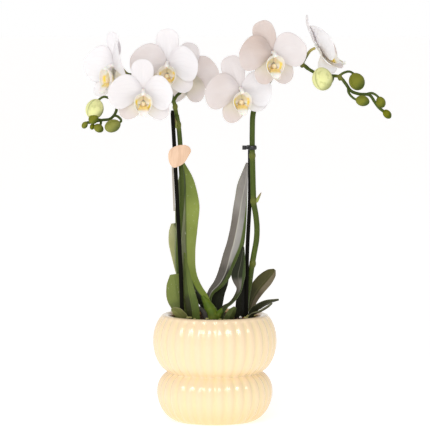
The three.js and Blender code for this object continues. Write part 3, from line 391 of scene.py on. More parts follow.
class OrchidPotSettings(bpy.types.PropertyGroup):
    """Sizes and colours of the pot and its filling."""
    ribs: IntProperty(name="Ribs", description="Ribs round the pot", default=34, min=8, max=80)
    rib_depth: length_property("Rib depth", "Depth of the grooves between the ribs", 1.6)
    glaze: colour_property("Glaze", "Cream colour of the glaze on the crests", screen(250, 224, 187))
    glaze_deep: colour_property("Deep glaze", "Colour of the glaze where it pools in the grooves",
                                screen(248, 228, 181))
    bark: colour_property("Bark", "Main colour of the bark chips", screen(120, 72, 38))
    chips: IntProperty(name="Chips", description="Bark chips on the top", default=150, min=10, max=600)


class OrchidPlantSettings(bpy.types.PropertyGroup):
    """Sizes and colours of the leaves, stems and flowers."""
    leaf_thickness: length_property("Leaf thickness", "Thickness of a leaf", LEAF_THICKNESS)
    petal_thickness: length_property("Petal thickness", "Thickness of a petal", 0.6)
    petal: colour_property("Petal", "White of the petals", screen(240, 235, 238))
    # The warm white is also the colour of the painted shade on tepals in shadow.
    petal_warm_and_shade: colour_property("Warm petal", "Warm white of the shaded tissue", screen(196, 177, 168))
    lip_yellow: colour_property("Lip yellow", "Yellow of the lip", screen(244, 214, 60))
    lip_mark: colour_property("Lip marks", "Dark red of the bars in the lip", screen(116, 66, 48))
    stem: colour_property("Stem", "Green of the flower spikes", screen(78, 94, 32))
    bud_pale: colour_property("Pale bud", "Green white of a nearly open bud", screen(229, 230, 166))
    bud_green: colour_property("Green bud", "Green of a young bud", screen(114, 117, 20))


class OrchidStageSettings(bpy.types.PropertyGroup):
    """Floor and lights."""
    floor: colour_property("Floor", "Colour of the plain floor", screen(240, 240, 240))
    key_power: power_property("Key light", "Power of the large soft light at the upper left", 10.4)
    front_power: power_property("Front light", "Power of the smaller soft light in front", 7)
    side_power: power_property("Side light", "Power of the soft light from the left", 1.0)
    glint_power: power_property("Glint light", "Power of the wide strip that only glints on the glaze", 22)
    horizon: share_property("Horizon", "Brightness of the white surround low down", 1.0)
    zenith: share_property("Zenith", "Brightness of the white surround overhead", 0.5)


# ---------------------------------------------------------------- curves and meshes


SPLINE_STEPS = 400


def smooth_point(points, share):
    """A point on the centripetal Catmull-Rom spline through the points, share running from 0 to 1."""
    last = len(points) - 1
    place = share * last
    index = min(int(place), last - 1)
    weight = place - index
    one, two = points[index], points[index + 1]
    before = points[index - 1] if index > 0 else one * 2 - two
    after = points[index + 2] if index + 2 <= last else two * 2 - one
    middle = max((two - one).length ** 0.5, 1e-4)
    first = (one - before).length ** 0.5 or middle
    third = (after - two).length ** 0.5 or middle
    start = ((one - before) / first - (two - before) / (first + middle) + (two - one) / middle) * middle
    end = ((two - one) / middle - (after - one) / (middle + third) + (after - two) / third) * middle
    square, cube = weight ** 2, weight ** 3
    return (one * (2 * cube - 3 * square + 1) + two * (3 * square - 2 * cube)
            + start * (cube - 2 * square + weight) + end * (cube - square))


def even_points(points, step):
    """Points along the spline at nearly even distances, about step apart."""
    fine = [smooth_point(points, i / SPLINE_STEPS) for i in range(SPLINE_STEPS + 1)]
    total = sum((b - a).length for a, b in zip(fine, fine[1:]))
    count = max(2, round(total / step))
    kept, travelled = [fine[0]], 0
    for a, b in zip(fine, fine[1:]):
        travelled += (b - a).length
        if travelled >= total * len(kept) / count - 1e-9:
            kept.append(b)
    return kept


def vectors(rows):
    return [Vector(row) for row in rows]


def piece_from(bm, name, materials, nodes=(), smooth=True):
    """Makes the finished object of a bmesh in millimetres, riding on the one body."""
    bmesh.ops.scale(bm, vec=(MM, MM, MM), verts=bm.verts)
    mesh = bpy.data.meshes.new(name)
    bm.to_mesh(mesh)
    bm.free()
    for material in materials:
        mesh.materials.append(material)
    for face in mesh.polygons:
        face.use_smooth = smooth
    piece = bpy.data.objects.new(name, mesh)
    bpy.context.collection.objects.link(piece)
    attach(piece, ROOT)
    if nodes:
        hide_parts(*nodes)
    return piece


def shape_with(*layers):
    """An empty bmesh with float point layers of these names, which the materials read."""
    bm = bmesh.new()
    for name in layers:
        bm.verts.layers.float.new(name)
    return bm


def edges_of(verts):
    """Every edge that touches these points, each once."""
    return list(dict.fromkeys(edge for vert in verts for edge in vert.link_edges))


def faces_of(verts):
    """Every face that touches these points, each once."""
    return list(dict.fromkeys(face for vert in verts for face in vert.link_faces))


def edges_within(ring):
    """The edges that join the points of one ring to each other."""
    return [edge for edge in edges_of(ring) if all(vert in ring for vert in edge.verts)]


def points_in(geometry):
    return [item for item in geometry if isinstance(item, bmesh.types.BMVert)]


def ease(bm, edges, offset, segments=2):
    """Bevels sharp edges, and returns the points of the new faces."""
    return bmesh.ops.bevel(bm, geom=edges, offset=offset, offset_type="OFFSET", segments=segments,
                           profile=0.5, affect="EDGES", material=-1)["verts"]


def spin_round(bm, geometry, steps, middle=(0, 0, 0)):
    bmesh.ops.spin(bm, geom=geometry, cent=middle, axis=(0, 0, 1), angle=2 * math.pi, steps=steps,
                   use_merge=True, use_duplicate=False)


def tidy(bm, distance=0.01):
    """Merges doubled points and turns every face outwards."""
    bmesh.ops.remove_doubles(bm, verts=bm.verts, dist=distance)
    bmesh.ops.recalc_face_normals(bm, faces=bm.faces)


def sheet(bm, surface, columns, rows, marks=None):
    """Adds a grid laid on surface(along, across), along 0 to 1 and across -1 to 1.

    marks(along, across) gives values for the point layers of the same names.
    """
    layers = bm.verts.layers.float
    grid = bmesh.ops.create_grid(bm, x_segments=columns, y_segments=rows, size=1)
    for vert in grid["verts"]:
        across, along = vert.co.x, (vert.co.y + 1) / 2
        values = {"along": along, "across": across}
        values.update(marks(along, across) if marks else {})
        for key, value in values.items():
            vert[layers[key]] = value
        vert.co = surface(along, across)
    return grid["verts"]


def thicken(piece, thickness, backs=0):
    """Gives a sheet its thickness about its middle, then rounds it. Its back takes the material backs on."""
    wall = piece.modifiers.new("wall", "SOLIDIFY")
    wall.thickness = thickness
    wall.offset = 0
    wall.material_offset = backs
    round_off = piece.modifiers.new("round", "SUBSURF")
    round_off.levels = 1
    round_off.render_levels = 1


def tube(bm, route, radius_at, sides, step, marks=None):
    """Extrudes a ring along a route. radius_at(share) is its radius, and marks(point) gives point layers."""
    points = even_points(vectors(route), step)
    up = Vector((0, 1, 0))
    frames = []
    for i, point in enumerate(points):
        ahead = (points[min(i + 1, len(points) - 1)] - points[max(i - 1, 0)]).normalized()
        side = up.cross(ahead).normalized()
        up = ahead.cross(side).normalized()
        turn = Matrix((side, up, ahead)).transposed().to_4x4()
        radius = radius_at(i / (len(points) - 1))
        frames.append(Matrix.Translation(point) @ turn @ Matrix.Diagonal((radius, radius, radius, 1)))
    ring = bmesh.ops.create_circle(bm, cap_ends=True, segments=sides, radius=1, matrix=frames[0])["verts"]
    made = list(ring)
    for before, after in zip(frames, frames[1:]):
        ring = points_in(bmesh.ops.extrude_edge_only(bm, edges=edges_within(ring))["geom"])
        bmesh.ops.transform(bm, matrix=after @ before.inverted(), verts=ring)
        made += ring
    bmesh.ops.contextual_create(bm, geom=edges_within(ring))
    mark_points(bm, made, marks)
    return made


def egg(bm, at, axis, long, wide, segments, rings, shape=None, marks=None):
    """An egg with its long axis turned to a direction. shape(unit point) may pull its surface about."""
    ball = bmesh.ops.create_uvsphere(bm, u_segments=segments, v_segments=rings, radius=1)["verts"]
    if shape:
        for vert in ball:
            vert.co = shape(vert.co)
    turn = Vector((0, 0, 1)).rotation_difference(Vector(axis).normalized()).to_matrix().to_4x4()
    place = Matrix.Translation(at) @ turn @ Matrix.Diagonal((wide, wide, long, 1))
    bmesh.ops.transform(bm, matrix=place, verts=ball)
    mark_points(bm, ball, marks)
    return ball


def mark_points(bm, verts, marks):
    """Writes what marks(place) gives for each point into the point layers of the same names."""
    for vert in verts if marks else ():
        for key, value in marks(vert.co).items():
            vert[bm.verts.layers.float[key]] = value


# ---------------------------------------------------------------- finishes


class Finish:
    """A node material, made by short calls that each add one node and return its result."""

    def __init__(self, name, **sockets):
        self.material = bpy.data.materials.new(name)
        self.material.use_nodes = True
        self.tree = self.material.node_tree
        self.shader = self.tree.nodes["Principled BSDF"]
        for key, value in sockets.items():
            self.shader.inputs[key.replace("_", " ")].default_value = value
        coordinates = self.tree.nodes.new("ShaderNodeTexCoord")
        self.place = coordinates.outputs["Object"]

    def into(self, socket, value):
        """Links a node's result to a socket, or sets the socket to a plain value."""
        if isinstance(value, bpy.types.NodeSocket):
            self.tree.links.new(value, socket)
        elif value is not None:
            socket.default_value = value

    def stretched(self, scale, turn=(0, 0, 0)):
        """The place on the object, scaled and turned, for a pattern that runs one way."""
        node = self.tree.nodes.new("ShaderNodeMapping")
        self.into(node.inputs["Vector"], self.place)
        node.inputs["Scale"].default_value = scale
        node.inputs["Rotation"].default_value = turn
        return node.outputs["Vector"]

    def noise(self, scale, detail=3, roughness=0.5, at=None):
        node = self.tree.nodes.new("ShaderNodeTexNoise")
        self.into(node.inputs["Vector"], at or self.place)
        node.inputs["Scale"].default_value = scale
        node.inputs["Detail"].default_value = detail
        node.inputs["Roughness"].default_value = roughness
        return node.outputs["Fac"]

    def cells(self, scale):
        node = self.tree.nodes.new("ShaderNodeTexVoronoi")
        self.into(node.inputs["Vector"], self.place)
        node.inputs["Scale"].default_value = scale
        return node.outputs["Distance"]

    def height(self):
        node = self.tree.nodes.new("ShaderNodeSeparateXYZ")
        self.into(node.inputs["Vector"], self.place)
        return node.outputs["Z"]

    def layer(self, name):
        node = self.tree.nodes.new("ShaderNodeAttribute")
        node.attribute_name = name
        return node.outputs["Fac"]

    def reckon(self, operation, first, second=None):
        node = self.tree.nodes.new("ShaderNodeMath")
        node.operation = operation
        for socket, value in zip(node.inputs, (first, second)):
            self.into(socket, value)
        return node.outputs[0]

    def band(self, value, low, high, to_low=0.0, to_high=1.0):
        """Runs smoothly from to_low at low to to_high at high, and stays level outside."""
        node = self.tree.nodes.new("ShaderNodeMapRange")
        node.interpolation_type = "SMOOTHSTEP"
        for key, number in (("From Min", low), ("From Max", high), ("To Min", to_low), ("To Max", to_high)):
            node.inputs[key].default_value = number
        self.into(node.inputs["Value"], value)
        return node.outputs["Result"]

    def mix(self, share, first, second, mode="MIX"):
        node = self.tree.nodes.new("ShaderNodeMix")
        node.data_type = "RGBA"
        node.blend_type = mode
        colours = [socket for socket in node.inputs if socket.type == "RGBA"]
        self.into(node.inputs[0], share)
        self.into(colours[0], first)
        self.into(colours[1], second)
        return next(socket for socket in node.outputs if socket.type == "RGBA")

    def bump(self, height, distance, strength):
        node = self.tree.nodes.new("ShaderNodeBump")
        node.inputs["Strength"].default_value = strength
        node.inputs["Distance"].default_value = distance
        self.into(node.inputs["Height"], height)
        return node.outputs["Normal"]

    def done(self, colour, normal=None):
        self.into(self.shader.inputs["Base Color"], colour)
        self.into(self.shader.inputs["Normal"], normal)
        return self.material


def glaze_finish(settings):
    """Glossy cream glaze, deeper in the grooves where it pools, darker towards the foot, with painted shade
    inside the lip, and a few pinholes.
    """
    finish = Finish("cream_glaze", Roughness=0.22, Specular_IOR_Level=0.25, Coat_Weight=0.6,
                    Coat_Roughness=0.05, Coat_IOR=1.5)
    pooled = finish.band(finish.layer("groove"), 0.25, 1.0)
    drift = finish.band(finish.noise(9, 3), 0.35, 0.7, 0.0, 0.35)
    deep = finish.reckon("ADD", finish.reckon("MULTIPLY", pooled, 0.75), drift)
    colour = finish.mix(deep, tuple(settings.glaze), tuple(settings.glaze_deep))
    foot = finish.band(finish.height(), 0.0, 0.026, 0.8, 0.0)
    colour = finish.mix(foot, colour, screen(240, 208, 158))
    # Painted shade: the inner wall below the lip turns warm brown where it stands in shadow.
    colour = finish.mix(finish.layer("inside"), colour, screen(214, 168, 104))
    speck = finish.band(finish.cells(240), 0.0, 0.045, 0.45, 0.0)
    rare = finish.band(finish.noise(31, 1), 0.58, 0.66)
    colour = finish.mix(finish.reckon("MULTIPLY", speck, rare), colour, screen(196, 160, 112))
    ripple = finish.bump(finish.noise(260, 2), 0.00012, 0.35)
    return finish.done(colour, ripple)


# Finishes of two close tones: their screen colours, the scale and detail of their pattern and of the grain,
# and the depth and strength of that grain.
MOTTLED = {
    "grow_pot_plastic": {"tones": ((44, 42, 40), (62, 58, 54)), "pattern": (60, 2), "grain": (700, 2),
                         "depth": 0.0001, "strength": 0.4},
    "moss": {"tones": ((122, 128, 60), (196, 186, 122)), "pattern": (300, 3), "grain": (900, 2),
             "depth": 0.0006, "strength": 0.8},
    "perlite": {"tones": ((236, 234, 228), (206, 202, 194)), "pattern": (500, 2), "grain": (1400, 2),
                "depth": 0.0004, "strength": 0.8},
    "aerial_root": {"tones": ((40, 38, 32), (74, 70, 62)), "pattern": (260, 4), "grain": (900, 3),
                    "depth": 0.0004, "strength": 0.8},
    "clip": {"tones": ((18, 18, 18), (34, 34, 34)), "pattern": (300, 2), "grain": (1200, 2),
             "depth": 0.00008, "strength": 0.5},
}


def mottled_finish(name, roughness):
    """Two close tones that change from place to place, over a fine bumpy grain."""
    finish, look = Finish(name, Roughness=roughness), MOTTLED[name]
    colour = finish.mix(finish.noise(*look["pattern"]), *(screen(*tone) for tone in look["tones"]))
    return finish.done(colour, finish.bump(finish.noise(*look["grain"]), look["depth"], look["strength"]))


def wood_finish(name, roughness, light, dark, grain):
    """Bare wood with a fine grain. grain is its scale, detail and stretch, and its turn where it slants."""
    scale, detail, *way = grain
    finish = Finish(name, Roughness=roughness)
    fibres = finish.noise(scale, detail, 0.6, finish.stretched(*way))
    colour = finish.mix(finish.band(fibres, 0.3, 0.75), screen(*light), screen(*dark))
    return finish.done(colour, finish.bump(fibres, 0.00015, 0.6))


def bark_finish(settings):
    """Split bark: orange brown to near black from chip to chip, with fibres and a dusty grain."""
    finish = Finish("split_bark", Roughness=0.85)
    tone = finish.layer("tone")
    fibres = finish.noise(180, 6, 0.65, finish.stretched((1, 1, 3.5)))
    warm = finish.mix(tone, screen(58, 36, 24), tuple(settings.bark))
    warm = finish.mix(finish.band(tone, 0.72, 1.0), warm, screen(196, 128, 66))
    colour = finish.mix(finish.band(fibres, 0.4, 0.75, 0.0, 0.6), warm, screen(38, 24, 18))
    return finish.done(colour, finish.bump(fibres, 0.0012, 0.8))


def darker(colour, share):
    return tuple(channel * share for channel in colour[:3]) + (1.0,)


def leaf_finish(name, tones):
    """Leathery leaf: each half runs through three tones from its foot to its tip, some of them painted shade,
    with fine long veins, a rib and a light edge, and painted shade towards its foot. Some leaves have a
    margin of another green, and some pale scuffs."""
    finish = Finish(name, Roughness=0.45, Specular_IOR_Level=0.16, Subsurface_Weight=0.04,
                    Subsurface_Scale=0.002, Subsurface_Radius=(0.6, 1.0, 0.3))
    across, along = finish.layer("across"), finish.layer("along")
    top = tones.get("top", 0.68)
    rising, tip = finish.band(along, 0.34, 0.46), finish.band(along, top, top + 0.12)
    halves = []
    for side in ("left", "right"):
        low, middle, high = (screen(*tone) for tone in tones.get(side, tones["left"]))
        halves.append(finish.mix(tip, finish.mix(rising, low, middle), high))
    split = tones.get("split", 0.0)
    colour = finish.mix(finish.band(across, split - 0.06, split + 0.06), *halves)
    drift = finish.noise(38, 4, 0.55)
    colour = finish.mix(finish.band(drift, 0.4, 0.7, 0.0, 0.35), colour, (0.7, 0.7, 0.6, 1), "MULTIPLY")
    if "margin" in tones:
        tone, start, slope = tones["margin"]
        past = finish.reckon("SUBTRACT", across, finish.reckon("MULTIPLY", along, slope))
        colour = finish.mix(finish.band(past, start - 0.05, start + 0.05), colour, screen(*tone))
    distance = finish.reckon("ABSOLUTE", across)
    shifted = finish.reckon("ADD", across, finish.reckon("MULTIPLY", drift, 0.06))
    lines = finish.reckon("SINE", finish.reckon("MULTIPLY", shifted, 62.0))
    rib, edge = screen(*tones["rib"]), screen(*tones["edge"])
    colour = finish.mix(finish.band(lines, 0.2, 1.0, 0.0, 0.1), colour, rib)
    colour = finish.mix(finish.band(distance, 0.02, 0.08, 0.7, 0.0), colour, rib)
    colour = finish.mix(finish.band(distance, 0.93, 0.99, 0.0, 0.75), colour, edge)
    if "scuffs" in tones:
        scuffs = finish.band(finish.noise(620, 3, 0.7, finish.stretched((1, 1, 0.5))), 0.63, 0.72)
        where = finish.band(finish.noise(26, 2), 0.42, 0.55)
        rubbed = finish.reckon("MULTIPLY", finish.reckon("MULTIPLY", scuffs, where), tones["scuffs"])
        colour = finish.mix(rubbed, colour, screen(214, 218, 190))
    # Painted shade: every leaf darkens towards its foot, where it stands deep among the others.
    colour = finish.mix(finish.band(along, 0.0, 0.14, 0.8, 0.0), colour, (0.5, 0.5, 0.42, 1), "MULTIPLY")
    height = finish.reckon("ADD", finish.reckon("MULTIPLY", lines, 0.35), finish.noise(520, 3))
    return finish.done(colour, finish.bump(height, 0.00025, 0.7))


def stem_finish(settings):
    """Green stem with darker streaks and pale flecks, yellower at its joints and pale by the blooms."""
    finish = Finish("stem", Roughness=0.45, Specular_IOR_Level=0.16, Subsurface_Weight=0.04,
                    Subsurface_Scale=0.0015, Subsurface_Radius=(0.5, 1.0, 0.25))
    drift = finish.noise(55, 4, 0.6, finish.stretched((1, 1, 0.35)))
    base = tuple(settings.stem)
    colour = finish.mix(finish.band(drift, 0.35, 0.7), base, darker(base, 0.6))
    colour = finish.mix(finish.reckon("MULTIPLY", finish.layer("joint"), 0.8), colour, screen(150, 144, 66))
    colour = finish.mix(finish.layer("warm"), colour, screen(188, 176, 104))
    flecks = finish.band(finish.noise(900, 2), 0.66, 0.74, 0.0, 0.35)
    colour = finish.mix(flecks, colour, screen(150, 158, 96))
    return finish.done(colour, finish.bump(finish.noise(620, 3), 0.0002, 0.5))


def bud_finish(settings):
    """Young buds are green and the nearly open ones green white, with painted shade darkening all of them
    towards their lower right.
    """
    finish = Finish("bud", Roughness=0.55, Specular_IOR_Level=0.08, Subsurface_Weight=0.15,
                    Subsurface_Scale=0.003, Subsurface_Radius=(0.8, 1.0, 0.4))
    # Painted shade: the "dark" layer turns the young green darker towards the lower right.
    young = finish.mix(finish.layer("dark"), tuple(settings.bud_green), screen(66, 80, 14))
    colour = finish.mix(finish.layer("pale"), young, tuple(settings.bud_pale))
    seam = finish.band(finish.layer("seam"), 0.2, 1.0, 0.0, 0.5)
    colour = finish.mix(seam, colour, screen(84, 92, 24))
    blotch = finish.band(finish.noise(160, 4, 0.6), 0.5, 0.75, 0.0, 0.4)
    colour = finish.mix(blotch, colour, screen(130, 134, 44))
    return finish.done(colour, finish.bump(finish.noise(800, 2), 0.0002, 0.4))


def bract_finish():
    """Green scale that dries to brown at its tip."""
    finish = Finish("bract", Roughness=0.6)
    dry = finish.band(finish.layer("along"), 0.2, 1.0)
    colour = finish.mix(dry, screen(150, 160, 78), screen(128, 104, 60))
    return finish.done(colour, finish.bump(finish.noise(700, 3), 0.0003, 0.6))


def petal_finish(settings):
    """Soft white tissue with faint veins, warmer towards the middle from its own beige and from painted
    bounce light, greyed by painted shade on tepals in shadow, and cream on the lower sepals' feet.
    """
    finish = Finish("petal", Roughness=0.55, Specular_IOR_Level=0.3, Subsurface_Weight=0.6,
                    Subsurface_Scale=0.004, Subsurface_Radius=(1.0, 0.9, 0.85), Sheen_Weight=0.12,
                    Sheen_Roughness=0.4)
    along, across = finish.layer("along"), finish.layer("across")
    # Warmer towards the middle: partly the tissue's own beige near the lip, partly painted warm bounce light.
    warmth = finish.band(along, 0.02, 0.4, 0.2, 0.0)
    # Painted shade: each tepal's shade value, broken into soft clouds, greys it where it lies in shadow.
    cloud = finish.band(finish.noise(30, 2), 0.3, 0.7, 0.7, 1.0)
    painted_shade = finish.reckon("MULTIPLY", finish.layer("shade"), cloud)
    share = finish.reckon("MAXIMUM", warmth, painted_shade)
    colour = finish.mix(share, tuple(settings.petal), tuple(settings.petal_warm_and_shade))
    throat = finish.reckon("MULTIPLY", finish.layer("sepal"), finish.band(along, 0.2, 0.75, 0.6, 0.0))
    colour = finish.mix(throat, colour, screen(216, 208, 174))
    wander = finish.reckon("MULTIPLY", finish.noise(70, 2), 0.5)
    fan = finish.reckon("SINE", finish.reckon("MULTIPLY", finish.reckon("ADD", across, wander), 24.0))
    veins = finish.band(fan, 0.55, 1.0, 0.0, 1.0)
    faded = finish.band(along, 0.1, 0.85, 0.08, 0.02)
    colour = finish.mix(finish.reckon("MULTIPLY", veins, faded), colour, screen(206, 194, 204))
    height = finish.reckon("ADD", finish.reckon("MULTIPLY", veins, -0.6), finish.noise(900, 3))
    return finish.done(colour, finish.bump(height, 0.00014, 0.5))


def column_finish():
    """White column with a cream spot on the front of its cap."""
    finish = Finish("column", Roughness=0.45, Subsurface_Weight=0.2, Subsurface_Scale=0.002)
    colour = finish.mix(finish.layer("cap"), screen(240, 236, 230), screen(236, 206, 170))
    return finish.done(colour, finish.bump(finish.noise(900, 2), 0.0001, 0.4))


def lip_finish(settings):
    """The lip: a white rim, yellow patches inside it, painted shade that turns its vault beige, a golden
    floor and dark red bars.
    """
    finish = Finish("lip", Roughness=0.45, Subsurface_Weight=0.15, Subsurface_Scale=0.002)
    patch = finish.band(finish.noise(230, 2), 0.34, 0.56)
    # Painted shade: the vault under the column turns beige.
    colour = finish.mix(finish.layer("vault"), screen(240, 236, 228), screen(218, 202, 160))
    yellow = finish.reckon("MULTIPLY", finish.layer("yellow"), patch)
    colour = finish.mix(yellow, colour, tuple(settings.lip_yellow))
    mottle = finish.band(finish.noise(420, 3), 0.35, 0.65, 0.0, 0.6)
    gold = finish.mix(mottle, screen(240, 210, 112), screen(216, 172, 86))
    colour = finish.mix(finish.layer("gold"), colour, gold)
    bars = finish.reckon("MULTIPLY", finish.layer("bar"), finish.band(finish.noise(380, 2), 0.3, 0.5))
    colour = finish.mix(bars, colour, tuple(settings.lip_mark))
    return finish.done(colour, finish.bump(finish.noise(800, 2), 0.0002, 0.5))


def crown_finish():
    """Bright green leaf bases, with painted shade darkening them low down where they stand in the bark."""
    finish = Finish("crown", Roughness=0.5, Specular_IOR_Level=0.12, Subsurface_Weight=0.08,
                    Subsurface_Scale=0.002)
    blotch = finish.band(finish.noise(90, 3), 0.42, 0.66)
    colour = finish.mix(blotch, screen(92, 116, 32), screen(138, 148, 44))
    # Painted shade low on the crown.
    shade = finish.band(finish.height(), 0.098, 0.112, 0.6, 0.0)
    colour = finish.mix(shade, colour, screen(40, 50, 14))
    return finish.done(colour, finish.bump(finish.noise(600, 3), 0.0002, 0.5))


def stake_finish():
    """Nearly black stake with a long streaky grain."""
    finish = Finish("stake", Roughness=0.75, Specular_IOR_Level=0.06)
    streaks = finish.noise(240, 3, 0.6, finish.stretched((1, 1, 0.2)))
    colour = finish.mix(streaks, screen(8, 8, 5), screen(24, 22, 16))
    return finish.done(colour, finish.bump(finish.noise(700, 3), 0.00015, 0.6))


def floor_finish(settings):
    """Plain pale floor that glows a little, so that it melts into the surround."""
    finish = Finish("floor", Roughness=0.9, Specular_IOR_Level=0.1, Emission_Color=(1, 1, 1, 1),
                    Emission_Strength=0.5)
    return finish.done(tuple(settings.floor))


# ---------------------------------------------------------------- pot, grow pot and bark


def bulge_radius(z, centre, radius, rise, swell):
    """Radius of a bulge, elliptical above and below its middle."""
    reach = min(1, abs(z - centre) / rise)
    return radius - swell * (1 - math.sqrt(1 - reach ** 2))


def crest_radius(z):
    """Radius of the pot over its rib crests: two elliptical bulges that meet in a sharp waist."""
    bulge = POT["upper"] if z > POT["waist_z"] else POT["lower"]
    if z <= POT["lower"]["z"]:
        return bulge_radius(z, bulge["z"], bulge["radius"], bulge["fall"], bulge["fall_swell"])
    crest = bulge_radius(z, bulge["z"], bulge["radius"], bulge["rise"], bulge["swell"])
    return max(POT["waist_radius"], crest)


def smoothstep(value, low, high):
    """Runs from 0 at low to 1 at high, eased at both ends, and stays level outside."""
    share = min(1, max(0, (value - low) / (high - low)))
    return share * share * (3 - 2 * share)


def groove_share(z):
    """Full on the bulges, little over half at the foot, none at the lip."""
    foot = 0.55 + 0.45 * smoothstep(z, *RIB["foot_fade"])
    return smoothstep(POT["height"] - z, *RIB["lip_fade"]) * foot


def spun(profile, steps, *layers):
    """A round solid about Z from a profile of (radius, z) that starts and ends on the axis."""
    bm = shape_with(*layers)
    points = [bm.verts.new((0, -radius, z)) for radius, z in profile]
    edges = [bm.edges.new(pair) for pair in zip(points, points[1:])]
    spin_round(bm, points + edges, steps)
    tidy(bm)
    return bm


class ORCHID_OT_pot(bpy.types.Operator):
    """Models the ribbed pot with its two bulges, sharp waist and rounded lip"""
    bl_idname = "orchid.pot"
    bl_label = "Pot"

    def execute(self, context):
        settings = context.scene.orchid_pot
        waist, crease = POT["waist_z"], POT_RINGS["crease"]
        step, count = POT_RINGS["below"]
        heights = [POT_RINGS["first"] + step * i for i in range(count)] + [waist - crease, waist + crease]
        step, count = POT_RINGS["above"]
        heights += [waist + step * i for i in range(1, count + 1)] + [POT["lip_base"]]
        outside = [(0, 0), (POT["foot_radius"], 0)] + [(crest_radius(z), z) for z in sorted(heights)]
        bm = spun(outside + POT_LIP + POT_INSIDE, settings.ribs * RIB["steps"], "groove", "inside")
        groove, inside = (bm.verts.layers.float[name] for name in ("groove", "inside"))
        depth = settings.rib_depth / MM
        for vert in bm.verts:
            z, radius = vert.co.z, math.hypot(vert.co.x, vert.co.y)
            outer = radius > crest_radius(min(z, POT["lip_base"])) - POT["wall"] and z > RIB["from_z"]
            if outer and radius > POT["lip_inside"]:
                turn = math.atan2(vert.co.x, -vert.co.y)
                hollow = ((1 + math.cos(settings.ribs * turn)) / 2) ** RIB["narrowness"]
                cut = depth * groove_share(z) * hollow
                vert[groove] = hollow * groove_share(z)
                vert.co.x *= (radius - cut) / radius
                vert.co.y *= (radius - cut) / radius
            # Inside the pot, the weight of its painted shade.
            elif z > POT_SHADE["from_z"]:
                vert[inside] = smoothstep(POT["height"] - z, *POT_SHADE["fade"])
        piece_from(bm, "ribbed_pot", [glaze_finish(settings)], ["pot"])
        return {"FINISHED"}


class ORCHID_OT_grow_pot(bpy.types.Operator):
    """Models the thin nursery pot that stands inside the ceramic one"""
    bl_idname = "orchid.grow_pot"
    bl_label = "Grow pot"

    def execute(self, context):
        low, high, wall = NURSERY["bottom_z"], NURSERY["top_z"], NURSERY["wall"]
        foot, top, bevel = NURSERY["bottom_radius"], NURSERY["top_radius"], NURSERY["foot_bevel"]
        rim, rim_low = top + NURSERY["rim"], high - NURSERY["rim_height"]
        inward, down = NURSERY["ease"]
        outside = [(0, low), (foot - bevel, low), (foot, low + bevel), (top, rim_low)]
        edge = [(rim, rim_low + inward), (rim, high - down), (rim - inward, high), (top - inward, high)]
        inside = [(top - wall, high - wall), (foot - wall, low + wall), (0, low + wall)]
        finish = mottled_finish("grow_pot_plastic", 0.42)
        piece_from(spun(outside + edge + inside, 96), "grow_pot", [finish], ["nursery_pot"])
        return {"FINISHED"}


def bark_chip(bm, draw, at, size):
    """One split flake: a bevelled box with its corners pulled about."""
    cube = bmesh.ops.create_cube(bm, size=1)["verts"]
    sides = [size * draw.uniform(*limits) for limits in CHIP["shape"]]
    bmesh.ops.transform(bm, matrix=Matrix.Diagonal((*sides, 1)), verts=cube)
    for vert in cube:
        pull = Vector((draw.uniform(-1, 1), draw.uniform(-1, 1), draw.uniform(-0.5, 0.5)))
        vert.co += pull * size * CHIP["pull"]
    made = ease(bm, edges_of(cube), size * CHIP["bevel"], 1)
    tilts = [draw.uniform(-CHIP["tilt"], CHIP["tilt"]) for _ in "XY"]
    turn = Matrix.Rotation(tilts[0], 4, "X") @ Matrix.Rotation(tilts[1], 4, "Y")
    spin = Matrix.Rotation(draw.uniform(0, 2 * math.pi), 4, "Z")
    bmesh.ops.transform(bm, matrix=Matrix.Translation(at) @ spin @ turn, verts=made)
    tone = draw.random()
    layer = bm.verts.layers.float["tone"]
    for vert in made:
        vert[layer] = tone


